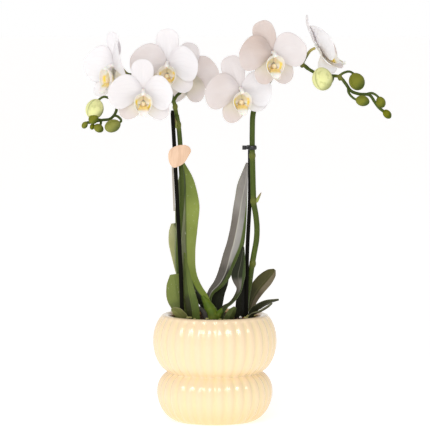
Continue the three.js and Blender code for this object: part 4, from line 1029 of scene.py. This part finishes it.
class ORCHID_OT_bark(bpy.types.Operator):
    """Fills the grow pot with bark, moss and a few grains of perlite"""
    bl_idname = "orchid.bark"
    bl_label = "Bark"

    def execute(self, context):
        settings = context.scene.orchid_pot
        draw = random.Random(BARK["seed"])
        golden = math.pi * (3 - math.sqrt(5))
        edge, top = BARK["radius"], BARK["top_z"]
        at_edge, near_edge, at_middle = (top - sink for sink in BARK["sink"])
        bed = spun([(0, BARK["foot_z"]), (BARK["foot_radius"], BARK["foot_z"]), (edge, at_edge),
                    (edge - 1, near_edge), (0, at_middle)], 48, "tone")

        def lay_chip(number, reach, chips):
            turn = number * golden
            at = (reach * math.cos(turn), reach * math.sin(turn), top + draw.uniform(*chips["rise"]))
            bark_chip(bed, draw, at, draw.uniform(*chips["sizes"]))

        for i in range(settings.chips):
            lay_chip(i, (edge - SPREAD["inset"]) * math.sqrt((i + 0.5) / settings.chips), SPREAD)
        for i in range(HEAP["chips"]):
            lay_chip(i, draw.uniform(*HEAP["reach"]), HEAP)
        bmesh.ops.recalc_face_normals(bed, faces=bed.faces)
        piece_from(bed, "bark_chips", [bark_finish(settings)], ["bark"], smooth=False)
        self.scatter(draw, "moss_tufts", mottled_finish("moss", 0.9), MOSS)
        self.scatter(draw, "perlite_grains", mottled_finish("perlite", 0.8), PERLITE)
        return {"FINISHED"}

    def scatter(self, draw, name, material, lumps):
        """Small rough lumps that lie on the bark."""
        bm = bmesh.new()
        for _ in range(lumps["count"]):
            turn = draw.uniform(0, 2 * math.pi)
            reach = BARK["radius"] * math.sqrt(draw.uniform(SCATTER["inner_share"], 1))
            size = draw.uniform(*lumps["sizes"])
            lump = bmesh.ops.create_icosphere(bm, subdivisions=2, radius=size)["verts"]
            for vert in lump:
                rough = noise.noise(vert.co * SCATTER["knob_scale"] + Vector((turn, 0, 0)))
                knob = SCATTER["knob"] * rough
                vert.co += vert.co.normalized() * size * knob
                vert.co.z *= lumps["flatness"]
            heap = SCATTER["rise"] * smoothstep(reach, SCATTER["rise_from"], SCATTER["rise_to"])
            z = BARK["top_z"] + SCATTER["lift"] + heap
            bmesh.ops.translate(bm, vec=(reach * math.cos(turn), reach * math.sin(turn), z), verts=lump)
        piece_from(bm, name, [material])


# ---------------------------------------------------------------- leaves, crown and root


def leaf_surface(leaf, wave):
    """Middle surface of a leaf: a keel through its stations, with two halves that rise from it."""
    keel = vectors((x, y, z) for x, y, z, _, _ in leaf["stations"])
    shape = vectors((half, turn, 0) for _, _, _, half, turn in leaf["stations"])
    rise = math.radians(leaf["fold"])

    def surface(along, across):
        middle = smooth_point(keel, along)
        ahead = smooth_point(keel, min(1, along + 0.001)) - smooth_point(keel, max(0, along - 0.001))
        ahead.normalize()
        half, turn, _ = smooth_point(shape, along)
        side = Vector((math.cos(math.radians(turn)), math.sin(math.radians(turn)), 0))
        side = (side - ahead * side.dot(ahead)).normalized()
        up = ahead.cross(side)
        reach = max(half, 0.5)
        lift = math.sin(rise) * abs(across) ** LEAF_FORM["power"]
        ripple = LEAF_FORM["ripple"] * across * abs(across) * math.sin(LEAF_FORM["waves"] * along + wave)
        return middle + side * (across * reach * math.cos(rise)) + up * (reach * (lift + ripple))

    return surface


# Screen colours of each leaf's front: each half from foot to tip, or both alike, the rib and the edge. Some
# of these tones are painted shade and one rib is a painted highlight, as marked below.
# "split" is how far right of the rib the halves meet, "top" where the third tone begins, "margin" the tone
# at the right edge with its place and slope, and "scuffs" how strongly it is rubbed. The back of every leaf
# takes AWAY.
LEAF_TONES = {
    "leaf_left_main": {
        # The left half's near-black foot and dark tip are painted shade on the half turned away from the
        # light.
        "left": ((30, 32, 16), (126, 130, 98), (58, 68, 30)),
        "right": ((136, 154, 62), (150, 164, 80), (124, 139, 64)), "rib": (78, 94, 42),
        "edge": (150, 162, 106), "scuffs": 0.6},
    "leaf_left_rear": {
        "left": ((80, 90, 48), (84, 98, 46), (112, 118, 80)), "rib": (96, 108, 60),
        "edge": (130, 138, 92)},
    "leaf_left_pale": {
        "left": ((168, 172, 112), (184, 185, 130), (186, 187, 138)),
        "right": ((84, 94, 54), (80, 94, 46), (112, 118, 80)), "split": 0.3, "rib": (166, 170, 124),
        "edge": (196, 196, 160), "scuffs": 0.3},
    "leaf_left_broad": {
        "left": ((108, 120, 62), (122, 134, 68), (124, 136, 70)),
        "right": ((96, 108, 52), (118, 130, 66), (122, 134, 68)), "rib": (104, 118, 56),
        "edge": (140, 134, 92), "scuffs": 0.45},
    "leaf_left_inner": {
        "left": ((52, 56, 26), (78, 92, 38), (92, 108, 48)),
        "right": ((92, 110, 46), (110, 126, 58), (110, 126, 56)), "split": -0.2, "rib": (84, 90, 42),
        "edge": (112, 104, 66), "scuffs": 0.2},
    "leaf_left_small": {
        "left": ((120, 124, 72), (134, 138, 82), (134, 138, 82)),
        "right": ((110, 114, 62), (124, 128, 74), (124, 128, 74)), "rib": (108, 112, 62),
        "edge": (158, 152, 112)},
    # Its pale rib is a painted highlight, and the dark foot of its right half is painted shade.
    "leaf_right_tall": {
        "left": ((92, 87, 82), (120, 113, 107), (152, 147, 142)),
        "right": ((64, 60, 54), (172, 169, 164), (160, 156, 151)), "scuffs": 0.35,
        "margin": ((88, 106, 44), -0.06, 1.05), "rib": (196, 194, 182), "edge": (112, 124, 72)},
    # Its near-black tones are painted shade: the leaf stands in deep shadow at the back.
    "leaf_right_dark": {
        "left": ((30, 34, 14), (34, 38, 16), (52, 54, 32)), "rib": (44, 50, 24), "edge": (62, 66, 40)},
    "leaf_right_arching": {
        "left": ((60, 66, 32), (104, 99, 92), (30, 36, 16)),
        "right": ((60, 66, 32), (120, 115, 108), (34, 42, 18)), "top": 0.52,
        "margin": ((60, 76, 34), 0.55, 0.0), "rib": (98, 96, 84), "edge": (140, 144, 112)},
    "leaf_right_stub": {
        "left": ((74, 84, 40), (92, 104, 52), (98, 110, 58)),
        "right": ((56, 62, 28), (72, 82, 38), (84, 96, 48)), "rib": (84, 96, 46), "edge": (110, 120, 66)},
    # Its near-black tones are painted shade: the leaf stands in deep shadow behind the stake.
    "leaf_right_short": {
        "left": ((30, 32, 18), (34, 36, 22), (40, 42, 28)),
        "right": ((26, 26, 16), (28, 28, 18), (34, 34, 24)), "rib": (40, 42, 28), "edge": (96, 98, 72)},
    "leaf_right_spread": {
        "left": ((58, 58, 26), (74, 71, 32), (82, 78, 38)),
        "right": ((96, 86, 66), (122, 112, 90), (116, 106, 80)), "split": 0.25, "rib": (84, 82, 46),
        "edge": (132, 122, 100)},
    "leaf_right_narrow": {
        "left": ((34, 38, 18), (44, 48, 26), (60, 62, 40)),
        "right": ((30, 34, 16), (38, 42, 22), (56, 58, 38)), "rib": (52, 56, 32), "edge": (96, 98, 70)},
    "leaf_right_low": {
        "left": ((44, 46, 26), (62, 62, 38), (78, 78, 52)),
        "right": ((36, 38, 20), (50, 52, 30), (70, 70, 46)), "rib": (60, 62, 38), "edge": (108, 108, 82)},
}
AWAY = {"left": ((70, 84, 40), (92, 108, 52), (100, 114, 58)), "rib": (118, 130, 76),
        "edge": (150, 158, 108)}


class ORCHID_OT_leaves(bpy.types.Operator):
    """Models the fourteen strap leaves, each folded along its rib"""
    bl_idname = "orchid.leaves"
    bl_label = "Leaves"

    def execute(self, context):
        settings = context.scene.orchid_plant
        away = leaf_finish("leaf_away", AWAY)
        for number, (name, leaf) in enumerate(LEAVES.items()):
            materials = [leaf_finish(name, LEAF_TONES[name]), away]
            bm = shape_with("along", "across")
            surface = leaf_surface(leaf, LEAF_FORM["phase"] * number)
            sheet(bm, surface, LEAF_FORM["columns"], LEAF_FORM["rows"])
            piece = piece_from(bm, name.replace("leaf", "blade"), materials, [name])
            thicken(piece, settings.leaf_thickness, backs=1)
        return {"FINISHED"}


class ORCHID_OT_crown(bpy.types.Operator):
    """Models the base where the leaves meet, and the aerial root beside it"""
    bl_idname = "orchid.crown"
    bl_label = "Crown and root"

    def execute(self, context):
        bm = bmesh.new()
        loss, power = SHEATH_LOSS["share"], SHEATH_LOSS["power"]
        for radius, route in SHEATHS:
            tube(bm, route, lambda share, full=radius: full * (1 - loss * share ** power), 28, 1.2)
        tidy(bm)
        piece_from(bm, "leaf_base", [crown_finish()], ["crown"])

        radius, knob = AERIAL_ROOT["radius"], AERIAL_ROOT["knob"]
        root = bmesh.new()
        tube(root, AERIAL_ROOT["route"], lambda share: radius * (1 + 0.06 * math.sin(17 * share)), 16, 0.8)
        egg(root, AERIAL_ROOT["route"][-1], (0, 0, 1), knob, knob, 20, 14)
        tidy(root)
        finish = mottled_finish("aerial_root", 0.8)
        piece_from(root, "root_loop", [finish], ["aerial_root"])
        return {"FINISHED"}


# ---------------------------------------------------------------- flower spikes and buds


def bloom_frame(bloom):
    """Frame of a bloom: its face looks along local +Z and its upper sepal along local +Y."""
    upright = Matrix(((1, 0, 0, 0), (0, 0, -1, 0), (0, 1, 0, 0), (0, 0, 0, 1)))
    yaw = Matrix.Rotation(math.radians(bloom["yaw"]), 4, "Z")
    pitch = Matrix.Rotation(math.radians(bloom["pitch"]), 4, "X")
    return Matrix.Translation(bloom["at"]) @ yaw @ pitch @ upright @ Matrix.Scale(bloom["size"], 4)


def tapered(radius, foot, loss):
    """Radius along a stem that starts at foot times its radius and loses a share of it on the way."""
    return lambda share: radius * (foot - loss * share)


def stem_piece(side, material):
    """One spike: its stem in stretches, its swollen joints and all of its stalks."""
    spike = STEMS[side]
    joints = [(Vector(joint[:3]), joint[3]) for joint in spike["joints"]]
    hubs = [Vector(BLOOMS[name]["at"]) for name in spike["bloom_stalks"]]

    def tones_at(point):
        joint = min((point - at).length for at, _ in joints)
        bloom = min((point - at).length for at in hubs)
        return {"joint": math.exp(-(joint / STEM_TINT["joint"]) ** 2),
                "warm": 1 - smoothstep(bloom, *STEM_TINT["bloom"])}

    bm = shape_with("joint", "warm")
    for radius, route in spike["stretches"]:
        tube(bm, route, tapered(radius, *STEM_TAPER), 14, 2.5, tones_at)
    for at, radius in joints:
        egg(bm, at, (0, 0, 1), radius * 1.5, radius, 16, 10, marks=tones_at)
    for *_, route in spike["buds"]:
        tube(bm, route, tapered(*STALKS["bud"]), 10, 1.5, tones_at)
    for name, route in spike["bloom_stalks"].items():
        place = bloom_frame(BLOOMS[name])
        last = [tuple(place @ Vector((0, 0, -HUB_RADIUS - gap))) for gap in (5, 0.3)]
        tube(bm, route + last, tapered(*STALKS["bloom"]), 12, 1.8, tones_at)
    tidy(bm, 0.001)
    return piece_from(bm, "stem_" + side, [material], ["spike_" + side])


def seam_share(unit, power):
    """Full along the seams of a bud, and narrower the higher the power."""
    turn = math.atan2(unit.y, unit.x)
    return max(0, math.cos(BUD["sepals"] * turn + BUD["turn"])) ** power


def bud_piece(side, material):
    """The buds of one spike: eggs with the seams where three sepals meet."""
    def seamed(unit):
        valley = seam_share(unit, 10) * (1 - unit.z ** 2)
        beak = 1 - BUD["beak"] * max(0, unit.z) ** 2
        share = (1 - BUD["seam"] * valley) * beak
        return Vector((unit.x * share, unit.y * share, unit.z))

    bm = shape_with("pale", "seam", "dark")
    for at, axis, long, wide, pale, _ in STEMS[side]["buds"]:
        turn = Vector((0, 0, 1)).rotation_difference(Vector(axis).normalized()).inverted()

        def tones_at(point):
            # Painted shade: "dark" rises towards the bud's lower right, and the pale fades there.
            away = (0.7 * (point.x - at[0]) - 0.7 * (point.z - at[2])) / wide
            return {"pale": pale * (1 - 0.6 * smoothstep(away, 0.3, 1)),
                    "dark": smoothstep(away, -0.1, 0.9),
                    "seam": seam_share(turn @ (point - Vector(at)), 12)}

        egg(bm, at, axis, long, wide, 32, 18, shape=seamed, marks=tones_at)
    tidy(bm, 0.001)
    return piece_from(bm, "buds_" + side, [material])


def bract_piece(side, material):
    """Small pointed scales on the joints of the stem."""
    bm = shape_with("along", "across")
    for foot, tip, half in STEMS[side]["bracts"]:
        def surface(along, across):
            middle = Vector(foot).lerp(Vector(tip), along)
            reach = half * (1 - 0.9 * along ** 1.6)
            return middle + Vector((across * reach, 1.6 * across ** 2 * (1 - along), 0))
        sheet(bm, surface, 6, 8)
    piece = piece_from(bm, "bracts_" + side, [material])
    thicken(piece, BRACT_THICKNESS * MM)
    return piece


class ORCHID_OT_spikes(bpy.types.Operator):
    """Models both flower spikes with their joints, bracts, stalks and buds"""
    bl_idname = "orchid.spikes"
    bl_label = "Flower spikes"

    def execute(self, context):
        settings = context.scene.orchid_plant
        stem, bud, bract = stem_finish(settings), bud_finish(settings), bract_finish()
        for side in STEMS:
            stem_piece(side, stem)
            bud_piece(side, bud)
            bract_piece(side, bract)
        return {"FINISHED"}


# ---------------------------------------------------------------- blooms


def tepal_outline(along, edge, foot):
    """Half-width share of a tepal at one edge: a narrow foot, a round shoulder and a blunt tip."""
    widest, bluntness = edge
    fall = TEPAL_RISE * (1 - widest) / widest
    peak = widest ** TEPAL_RISE * (1 - widest) ** fall
    lobe = along ** TEPAL_RISE * (1 - along) ** fall / peak
    return max(lobe ** bluntness, foot * (1 - along) ** 2)


def tepal_surface(kind, direction, stretch, sweep, roll, phase):
    """Surface of one tepal: dished, with a furrow at its foot, a faint wave and edges that turn back."""
    out = Vector((math.cos(math.radians(direction)), math.sin(math.radians(direction)), 0))
    face = Vector((0, 0, 1))
    form = TEPAL_FORM

    def surface(row, across):
        along = 1 - (1 - row) ** 1.5
        lean = math.radians(kind["tilt"] + (kind["curve"] / 2 + sweep) * along)
        edge = kind["upper"] if across * out.x > 0 else kind["lower"]
        half = kind["width"] / 2 * tepal_outline(along, edge, kind["foot"])
        reach = 1 + kind["length"] * stretch * along
        furrow = math.exp(-(across / form["furrow_width"]) ** 2) * (1 - along) * min(1, 4 * along)
        wave = form["wave"] * across ** 2 * math.sin(form["waves"] * along + phase)
        lift = half * (kind["cup"] * across ** 2 + wave - form["edge"] * abs(across) ** 5)
        lift -= form["furrow"] * furrow
        turn = math.radians(roll) * smoothstep(along, *form["rolled"])
        over = Vector((-out.y, out.x, 0)) * math.cos(turn) + face * math.sin(turn)
        point = out * (reach * math.cos(lean)) + face * (reach * math.sin(lean)) + over * (across * half)
        return point + out.cross(over) * lift - face * (LAYER_DEPTH * kind["behind"])

    return surface


def lip_lobe(hand):
    """One side of the lip's cup: along runs from its bottom to its top, across from its foot to its mouth."""
    def surface(along, across):
        turn = math.radians(-88 + 176 * along)
        bowl = math.radians(45 * (across + 1))
        flare = LIP["foot"] + (1 - LIP["foot"]) * math.sin(bowl)
        x = LIP["half_width"] * flare * math.cos(turn)
        y = LIP["middle_y"] + LIP["half_height"] * flare * math.sin(turn)
        z = LIP["foot_z"] + (LIP["mouth_z"] - LIP["foot_z"]) * (1 - math.cos(bowl))
        ruffle = LIP["ruffle"] * math.sin(9 * along + 1) * smoothstep(across, 0.4, 1)
        return Vector((hand * max(x + ruffle, 0.05), y, z + ruffle))

    return surface


def middle_lobe(along, across):
    """Surface of the lip's middle lobe: it runs forward and down, and narrows to a white tip."""
    middle = smooth_point(vectors(LOBE["rib"]), along)
    half = LOBE["half_width"] * math.sin(math.pi * (0.25 + 0.66 * along)) ** 0.8
    return middle + Vector((across * half, 0, LOBE["dish"] * across ** 2))


def spot(x, y, at, radii):
    """Full within an ellipse, fading out at its border."""
    return 1 - smoothstep(math.hypot((x - at[0]) / radii[0], (y - at[1]) / radii[1]), 0.7, 1.2)


def lip_marks(x, y):
    """Where the lip is yellow, golden or dark red, and where painted shade turns its vault beige, from the
    place on its face.
    """
    right, up = x / LIP["half_width"], (y - LIP["middle_y"]) / LIP["half_height"]
    reach = math.hypot(right, up)
    band = smoothstep(reach, *LIP_FADES["rim"]) * (1 - smoothstep(reach, *LIP_FADES["edge"]))
    sides = smoothstep(abs(right), *LIP_FADES["sideways"])
    yellow = band * sides * (1 - smoothstep(up, *LIP_FADES["upwards"]))
    # The vault's beige is painted shade.
    vault = smoothstep(up, *LIP_FADES["vault"]) * (1 - smoothstep(reach, *LIP_FADES["vault_edge"]))
    cheeks = CHEEK_BARS[0] * spot(abs(x), y, *CHEEK_BARS[1:])
    lone = LONE_BAR[0] * spot(x, y, *LONE_BAR[1:])
    return {"yellow": yellow, "vault": vault, "gold": spot(x, y, *GOLD_SPOT), "bar": max(cheeks, lone)}


def perianth_piece(name, bloom, material, thickness, draw):
    """The five white tepals of one bloom."""
    bm = shape_with("along", "across", "shade", "sepal")
    for i, kind in enumerate(TEPAL_KINDS):
        form = [bloom[key][i] if key in bloom else usual for key, usual in USUAL.items()]
        surface = tepal_surface(TEPALS[kind], bloom["angles"][i], *form, draw.uniform(0, 6))
        # The shade value is painted shade for tepals in shadow.
        tint = {"shade": bloom["shade"][i], "sepal": float(kind == "lateral")}
        sheet(bm, surface, 14, 16, lambda along, across: tint)
    bmesh.ops.remove_doubles(bm, verts=bm.verts, dist=0.01)
    bmesh.ops.transform(bm, matrix=bloom_frame(bloom), verts=bm.verts)
    piece = piece_from(bm, "petals_" + name, [material], ["bloom_" + name])
    thicken(piece, thickness)
    return piece


def column_piece(name, bloom, material):
    """The column in the middle of a bloom, with its anther cap."""
    def tones_at(point):
        return {"cap": 1 - smoothstep((point - Vector(CAP["spot"])).length, *CAP["fade"])}

    bm = shape_with("cap")
    tube(bm, COLUMN["route"], lambda share: COLUMN["radius"] - COLUMN["waist"] * math.sin(math.pi * share),
         16, 0.8, tones_at)
    egg(bm, CAP["at"], CAP["axis"], CAP["long"], CAP["wide"], 24, 16, marks=tones_at)
    tidy(bm, 0.001)
    bmesh.ops.transform(bm, matrix=bloom_frame(bloom), verts=bm.verts)
    return piece_from(bm, "column_" + name, [material])


def lip_piece(name, bloom, material):
    """The lip: two side lobes that make a cup, and a middle lobe."""
    bm = shape_with("along", "across", "yellow", "vault", "gold", "bar")
    for hand in (-1, 1):
        made = sheet(bm, lip_lobe(hand), 12, 24)
        if hand > 0:
            bmesh.ops.reverse_faces(bm, faces=faces_of(made))
    mark_points(bm, bm.verts, lambda point: lip_marks(point.x, point.y))
    tip = sheet(bm, middle_lobe, 10, 12)
    mark_points(bm, tip, lambda point: {"gold": 0.9 * (1 - smoothstep(-point.y, 17.5, 20))})
    bmesh.ops.transform(bm, matrix=bloom_frame(bloom), verts=bm.verts)
    piece = piece_from(bm, "lip_cup_" + name, [material], ["lip_" + name])
    thicken(piece, LIP["thickness"] * MM)
    return piece


def callus_piece(name, bloom, material):
    """The golden callus on the lip's floor, and the thin tendrils at its tip."""
    bm = shape_with("gold", "bar")

    def colours(point):
        return {"gold": CALLUS["gold"], "bar": CALLUS["bar"] * smoothstep(abs(point.x), 0.9, 1.9)}

    egg(bm, CALLUS["at"], CALLUS["axis"], CALLUS["long"], CALLUS["wide"], 20, 12, marks=colours)
    for hand in (-1, 1):
        tube(bm, [(hand * x, y, z) for x, y, z in TENDRIL], lambda share: 0.34 - 0.14 * share, 8, 0.7)
    tidy(bm, 0.001)
    bmesh.ops.transform(bm, matrix=bloom_frame(bloom), verts=bm.verts)
    return piece_from(bm, "callus_" + name, [material])


class ORCHID_OT_blooms(bpy.types.Operator):
    """Models the seven white blooms with their columns and yellow lips"""
    bl_idname = "orchid.blooms"
    bl_label = "Blooms"

    def execute(self, context):
        settings = context.scene.orchid_plant
        draw = random.Random(BLOOM_SEED)
        petal, column, lip = petal_finish(settings), column_finish(), lip_finish(settings)
        for name, bloom in BLOOMS.items():
            perianth_piece(name, bloom, petal, settings.petal_thickness, draw)
            column_piece(name, bloom, column)
            lip_piece(name, bloom, lip)
            callus_piece(name, bloom, lip)
        return {"FINISHED"}


# ---------------------------------------------------------------- stakes, clip and tag


class ORCHID_OT_supports(bpy.types.Operator):
    """Models the two stakes, the snap clip and the bare wooden tag"""
    bl_idname = "orchid.supports"
    bl_label = "Stakes, clip and tag"

    def execute(self, context):
        finish = stake_finish()

        def radius_at(share):
            tip = max(0, share - STAKE_TIP["from"]) / (1 - STAKE_TIP["from"])
            return STAKE_RADIUS * (1 - STAKE_TIP["loss"] * tip)

        for name, route in STAKES.items():
            bm = bmesh.new()
            tube(bm, route, radius_at, 20, 3)
            tidy(bm, 0.001)
            piece_from(bm, name.replace("stake", "rod"), [finish], [name])
        self.clip()
        self.tag()
        return {"FINISHED"}

    def clip(self):
        """Two collars, round the stem and the stake, and an arm with a round grip."""
        z, tall, wall = CLIP["z"], CLIP["height"], CLIP["wall"]
        bm = bmesh.new()
        for middle, radius in ((CLIP["stem"], CLIP["stem_radius"]), (CLIP["stake"], STAKE_RADIUS)):
            inner = radius + CLIP["gap"]
            section = bmesh.ops.create_circle(bm, segments=12, radius=wall / 2)["verts"]
            place = (Matrix.Translation((middle[0] + inner + wall / 2, middle[1], z))
                     @ Matrix.Rotation(math.pi / 2, 4, "X") @ Matrix.Diagonal((1, tall / wall, 1, 1)))
            bmesh.ops.transform(bm, matrix=place, verts=section)
            spin_round(bm, section + edges_of(section), 32, (*middle, z))
        grip = bmesh.ops.create_cone(bm, cap_ends=True, segments=16, radius1=CLIP["knob_radius"],
                                     radius2=CLIP["knob_radius"], depth=tall,
                                     matrix=Matrix.Translation((*CLIP["knob"], z)))["verts"]
        start, end = CLIP["knob"][0], CLIP["stem"][0] - CLIP["stem_radius"] - CLIP["arm_gap"]
        place = Matrix.Translation(((start + end) / 2, CLIP["knob"][1], z))
        place @= Matrix.Diagonal((end - start, CLIP["arm"], CLIP["arm"], 1))
        arm = bmesh.ops.create_cube(bm, size=1, matrix=place)["verts"]
        ease(bm, edges_of(grip + arm), CLIP["ease"])
        tidy(bm, 0.001)
        piece_from(bm, "snap_clip", [mottled_finish("clip", 0.3)], ["clip"])

    def tag(self):
        """A bare pebble-shaped pick of thin wood with eased edges."""
        corners = [Vector((x, TAG["front_y"], z)) for x, z in TAG["outline"]]
        looped = corners[-3:] + corners + corners[:3]
        count, last = 5 * len(corners), len(looped) - 1
        rim = [smooth_point(looped, (3 + len(corners) * i / count) / last) for i in range(count)]
        bm = bmesh.new()
        face = bm.faces.new([bm.verts.new(point) for point in rim])
        moved = points_in(bmesh.ops.extrude_face_region(bm, geom=[face])["geom"])
        bmesh.ops.translate(bm, vec=(0, TAG["thickness"], 0), verts=moved)
        tidy(bm, 0.001)
        ease(bm, [edge for edge in bm.edges if edge.calc_face_angle(0) > 1], TAG["ease"])
        self.stick(bm)
        face_wood = wood_finish("tag_wood", 0.62, (234, 200, 170), (214, 176, 144),
                                (320, 5, (1, 1, 0.12), (0, 0.5, 0)))
        stick_wood = wood_finish("pick_stem_wood", 0.7, (176, 168, 156), (148, 140, 128),
                                 (420, 4, (1, 1, 0.15)))
        piece_from(bm, "wood_pick", [face_wood, stick_wood], ["tag"])

    def stick(self, bm):
        """The pick's narrow stem, which runs down beside the stake."""
        stick = TAG["stick"]
        middle_y = stick["front_y"] + stick["thickness"] / 2
        start, end = (Vector((x, middle_y, z)) for x, z in (stick["from"], stick["to"]))
        turn = Vector((0, 0, 1)).rotation_difference(start - end).to_matrix().to_4x4()
        size = Matrix.Diagonal((stick["width"], stick["thickness"], (start - end).length, 1))
        place = Matrix.Translation((start + end) / 2) @ turn @ size
        box = bmesh.ops.create_cube(bm, size=1, matrix=place)["verts"]
        for face in faces_of(box):
            face.material_index = 1
        ease(bm, edges_of(box), TAG["ease"])


# ---------------------------------------------------------------- stage


class ORCHID_OT_stage(bpy.types.Operator):
    """Sets the plain pale floor, the soft lights and the camera"""
    bl_idname = "orchid.stage"
    bl_label = "Stage"

    def execute(self, context):
        settings = context.scene.orchid_stage
        scene = context.scene
        bm = bmesh.new()
        bmesh.ops.create_grid(bm, x_segments=1, y_segments=1, size=FLOOR_SIZE)
        mesh = bpy.data.meshes.new("floor")
        bm.to_mesh(mesh)
        bm.free()
        mesh.materials.append(floor_finish(settings))
        floor = bpy.data.objects.new("floor", mesh)
        scene.collection.objects.link(floor)

        self.surround(scene, settings)
        for name, lamp in LIGHTS.items():
            self.light(name, lamp, getattr(settings, name + "_power"))
        self.camera(scene)
        scene.view_settings.view_transform = "Standard"
        return {"FINISHED"}

    def surround(self, scene, settings):
        """A white surround, brightest and a little warm near the floor."""
        world = scene.world or bpy.data.worlds.new("surround")
        scene.world = world
        world.use_nodes = True
        nodes, links = world.node_tree.nodes, world.node_tree.links
        background = nodes["Background"]
        tint = nodes.new("ShaderNodeMix")
        tint.data_type = "RGBA"
        colours = [socket for socket in tint.inputs if socket.type == "RGBA"]
        colours[0].default_value, colours[1].default_value = SURROUND["horizon"], SURROUND["zenith"]
        way = nodes.new("ShaderNodeTexCoord")
        split = nodes.new("ShaderNodeSeparateXYZ")
        fade = nodes.new("ShaderNodeMapRange")
        for key, value in (("From Min", SURROUND["low"]), ("From Max", SURROUND["high"]),
                           ("To Min", settings.horizon), ("To Max", settings.zenith)):
            fade.inputs[key].default_value = value
        links.new(way.outputs["Generated"], split.inputs["Vector"])
        links.new(split.outputs["Z"], fade.inputs["Value"])
        links.new(fade.outputs["Result"], background.inputs["Strength"])
        links.new(fade.outputs["Result"], tint.inputs[0])
        tinted = next(socket for socket in tint.outputs if socket.type == "RGBA")
        links.new(tinted, background.inputs["Color"])

    def light(self, name, form, power):
        lamp = bpy.data.lights.new(name, "AREA")
        lamp.shape = "RECTANGLE"
        lamp.size, lamp.size_y = form["size"]
        lamp.energy = power
        holder = bpy.data.objects.new(name, lamp)
        holder.location = form["at"]
        aim = Vector(LIGHT_AIM) - Vector(form["at"])
        holder.rotation_euler = aim.to_track_quat("-Z", "Y").to_euler()
        holder.visible_diffuse = form.get("diffuse", True)
        bpy.context.scene.collection.objects.link(holder)

    def camera(self, scene):
        view = bpy.data.cameras.new("camera")
        view.lens = CAMERA["lens"]
        view.sensor_width = CAMERA["sensor"]
        view.clip_end = CAMERA["far"]
        holder = bpy.data.objects.new("camera", view)
        holder.location = CAMERA["at"]
        aim = Vector(CAMERA["aim"]) - Vector(CAMERA["at"])
        holder.rotation_euler = aim.to_track_quat("-Z", "Y").to_euler()
        scene.collection.objects.link(holder)
        scene.camera = holder


# ---------------------------------------------------------------- panel and registration


class ORCHID_PT_panel(bpy.types.Panel):
    """Lists the orchid's pieces and settings"""
    bl_label = "Potted Orchid"
    bl_idname = "ORCHID_PT_panel"
    bl_space_type = "VIEW_3D"
    bl_region_type = "UI"
    bl_category = "Orchid"

    def draw(self, context):
        for group in SETTINGS:
            box = self.layout.box()
            settings = getattr(context.scene, group)
            for key in settings.__annotations__:
                box.prop(settings, key)
        for operator in OPERATORS:
            self.layout.operator(operator.bl_idname)


SETTINGS = {
    "orchid_pot": OrchidPotSettings,
    "orchid_plant": OrchidPlantSettings,
    "orchid_stage": OrchidStageSettings,
}
OPERATORS = (ORCHID_OT_stage, ORCHID_OT_pot, ORCHID_OT_grow_pot, ORCHID_OT_bark, ORCHID_OT_leaves,
             ORCHID_OT_crown, ORCHID_OT_spikes, ORCHID_OT_blooms, ORCHID_OT_supports)


def register():
    for cls in (*SETTINGS.values(), *OPERATORS, ORCHID_PT_panel):
        bpy.utils.register_class(cls)
    for name, cls in SETTINGS.items():
        setattr(bpy.types.Scene, name, PointerProperty(type=cls))


def unregister():
    for name in SETTINGS:
        delattr(bpy.types.Scene, name)
    for cls in (ORCHID_PT_panel, *reversed(OPERATORS), *SETTINGS.values()):
        bpy.utils.unregister_class(cls)


def main():
    register()
    bpy.ops.orchid.stage()
    bpy.ops.orchid.pot()
    bpy.ops.orchid.grow_pot()
    bpy.ops.orchid.bark()
    bpy.ops.orchid.leaves()
    bpy.ops.orchid.crown()
    bpy.ops.orchid.spikes()
    bpy.ops.orchid.blooms()
    bpy.ops.orchid.supports()


if __name__ == "__main__":
    main()
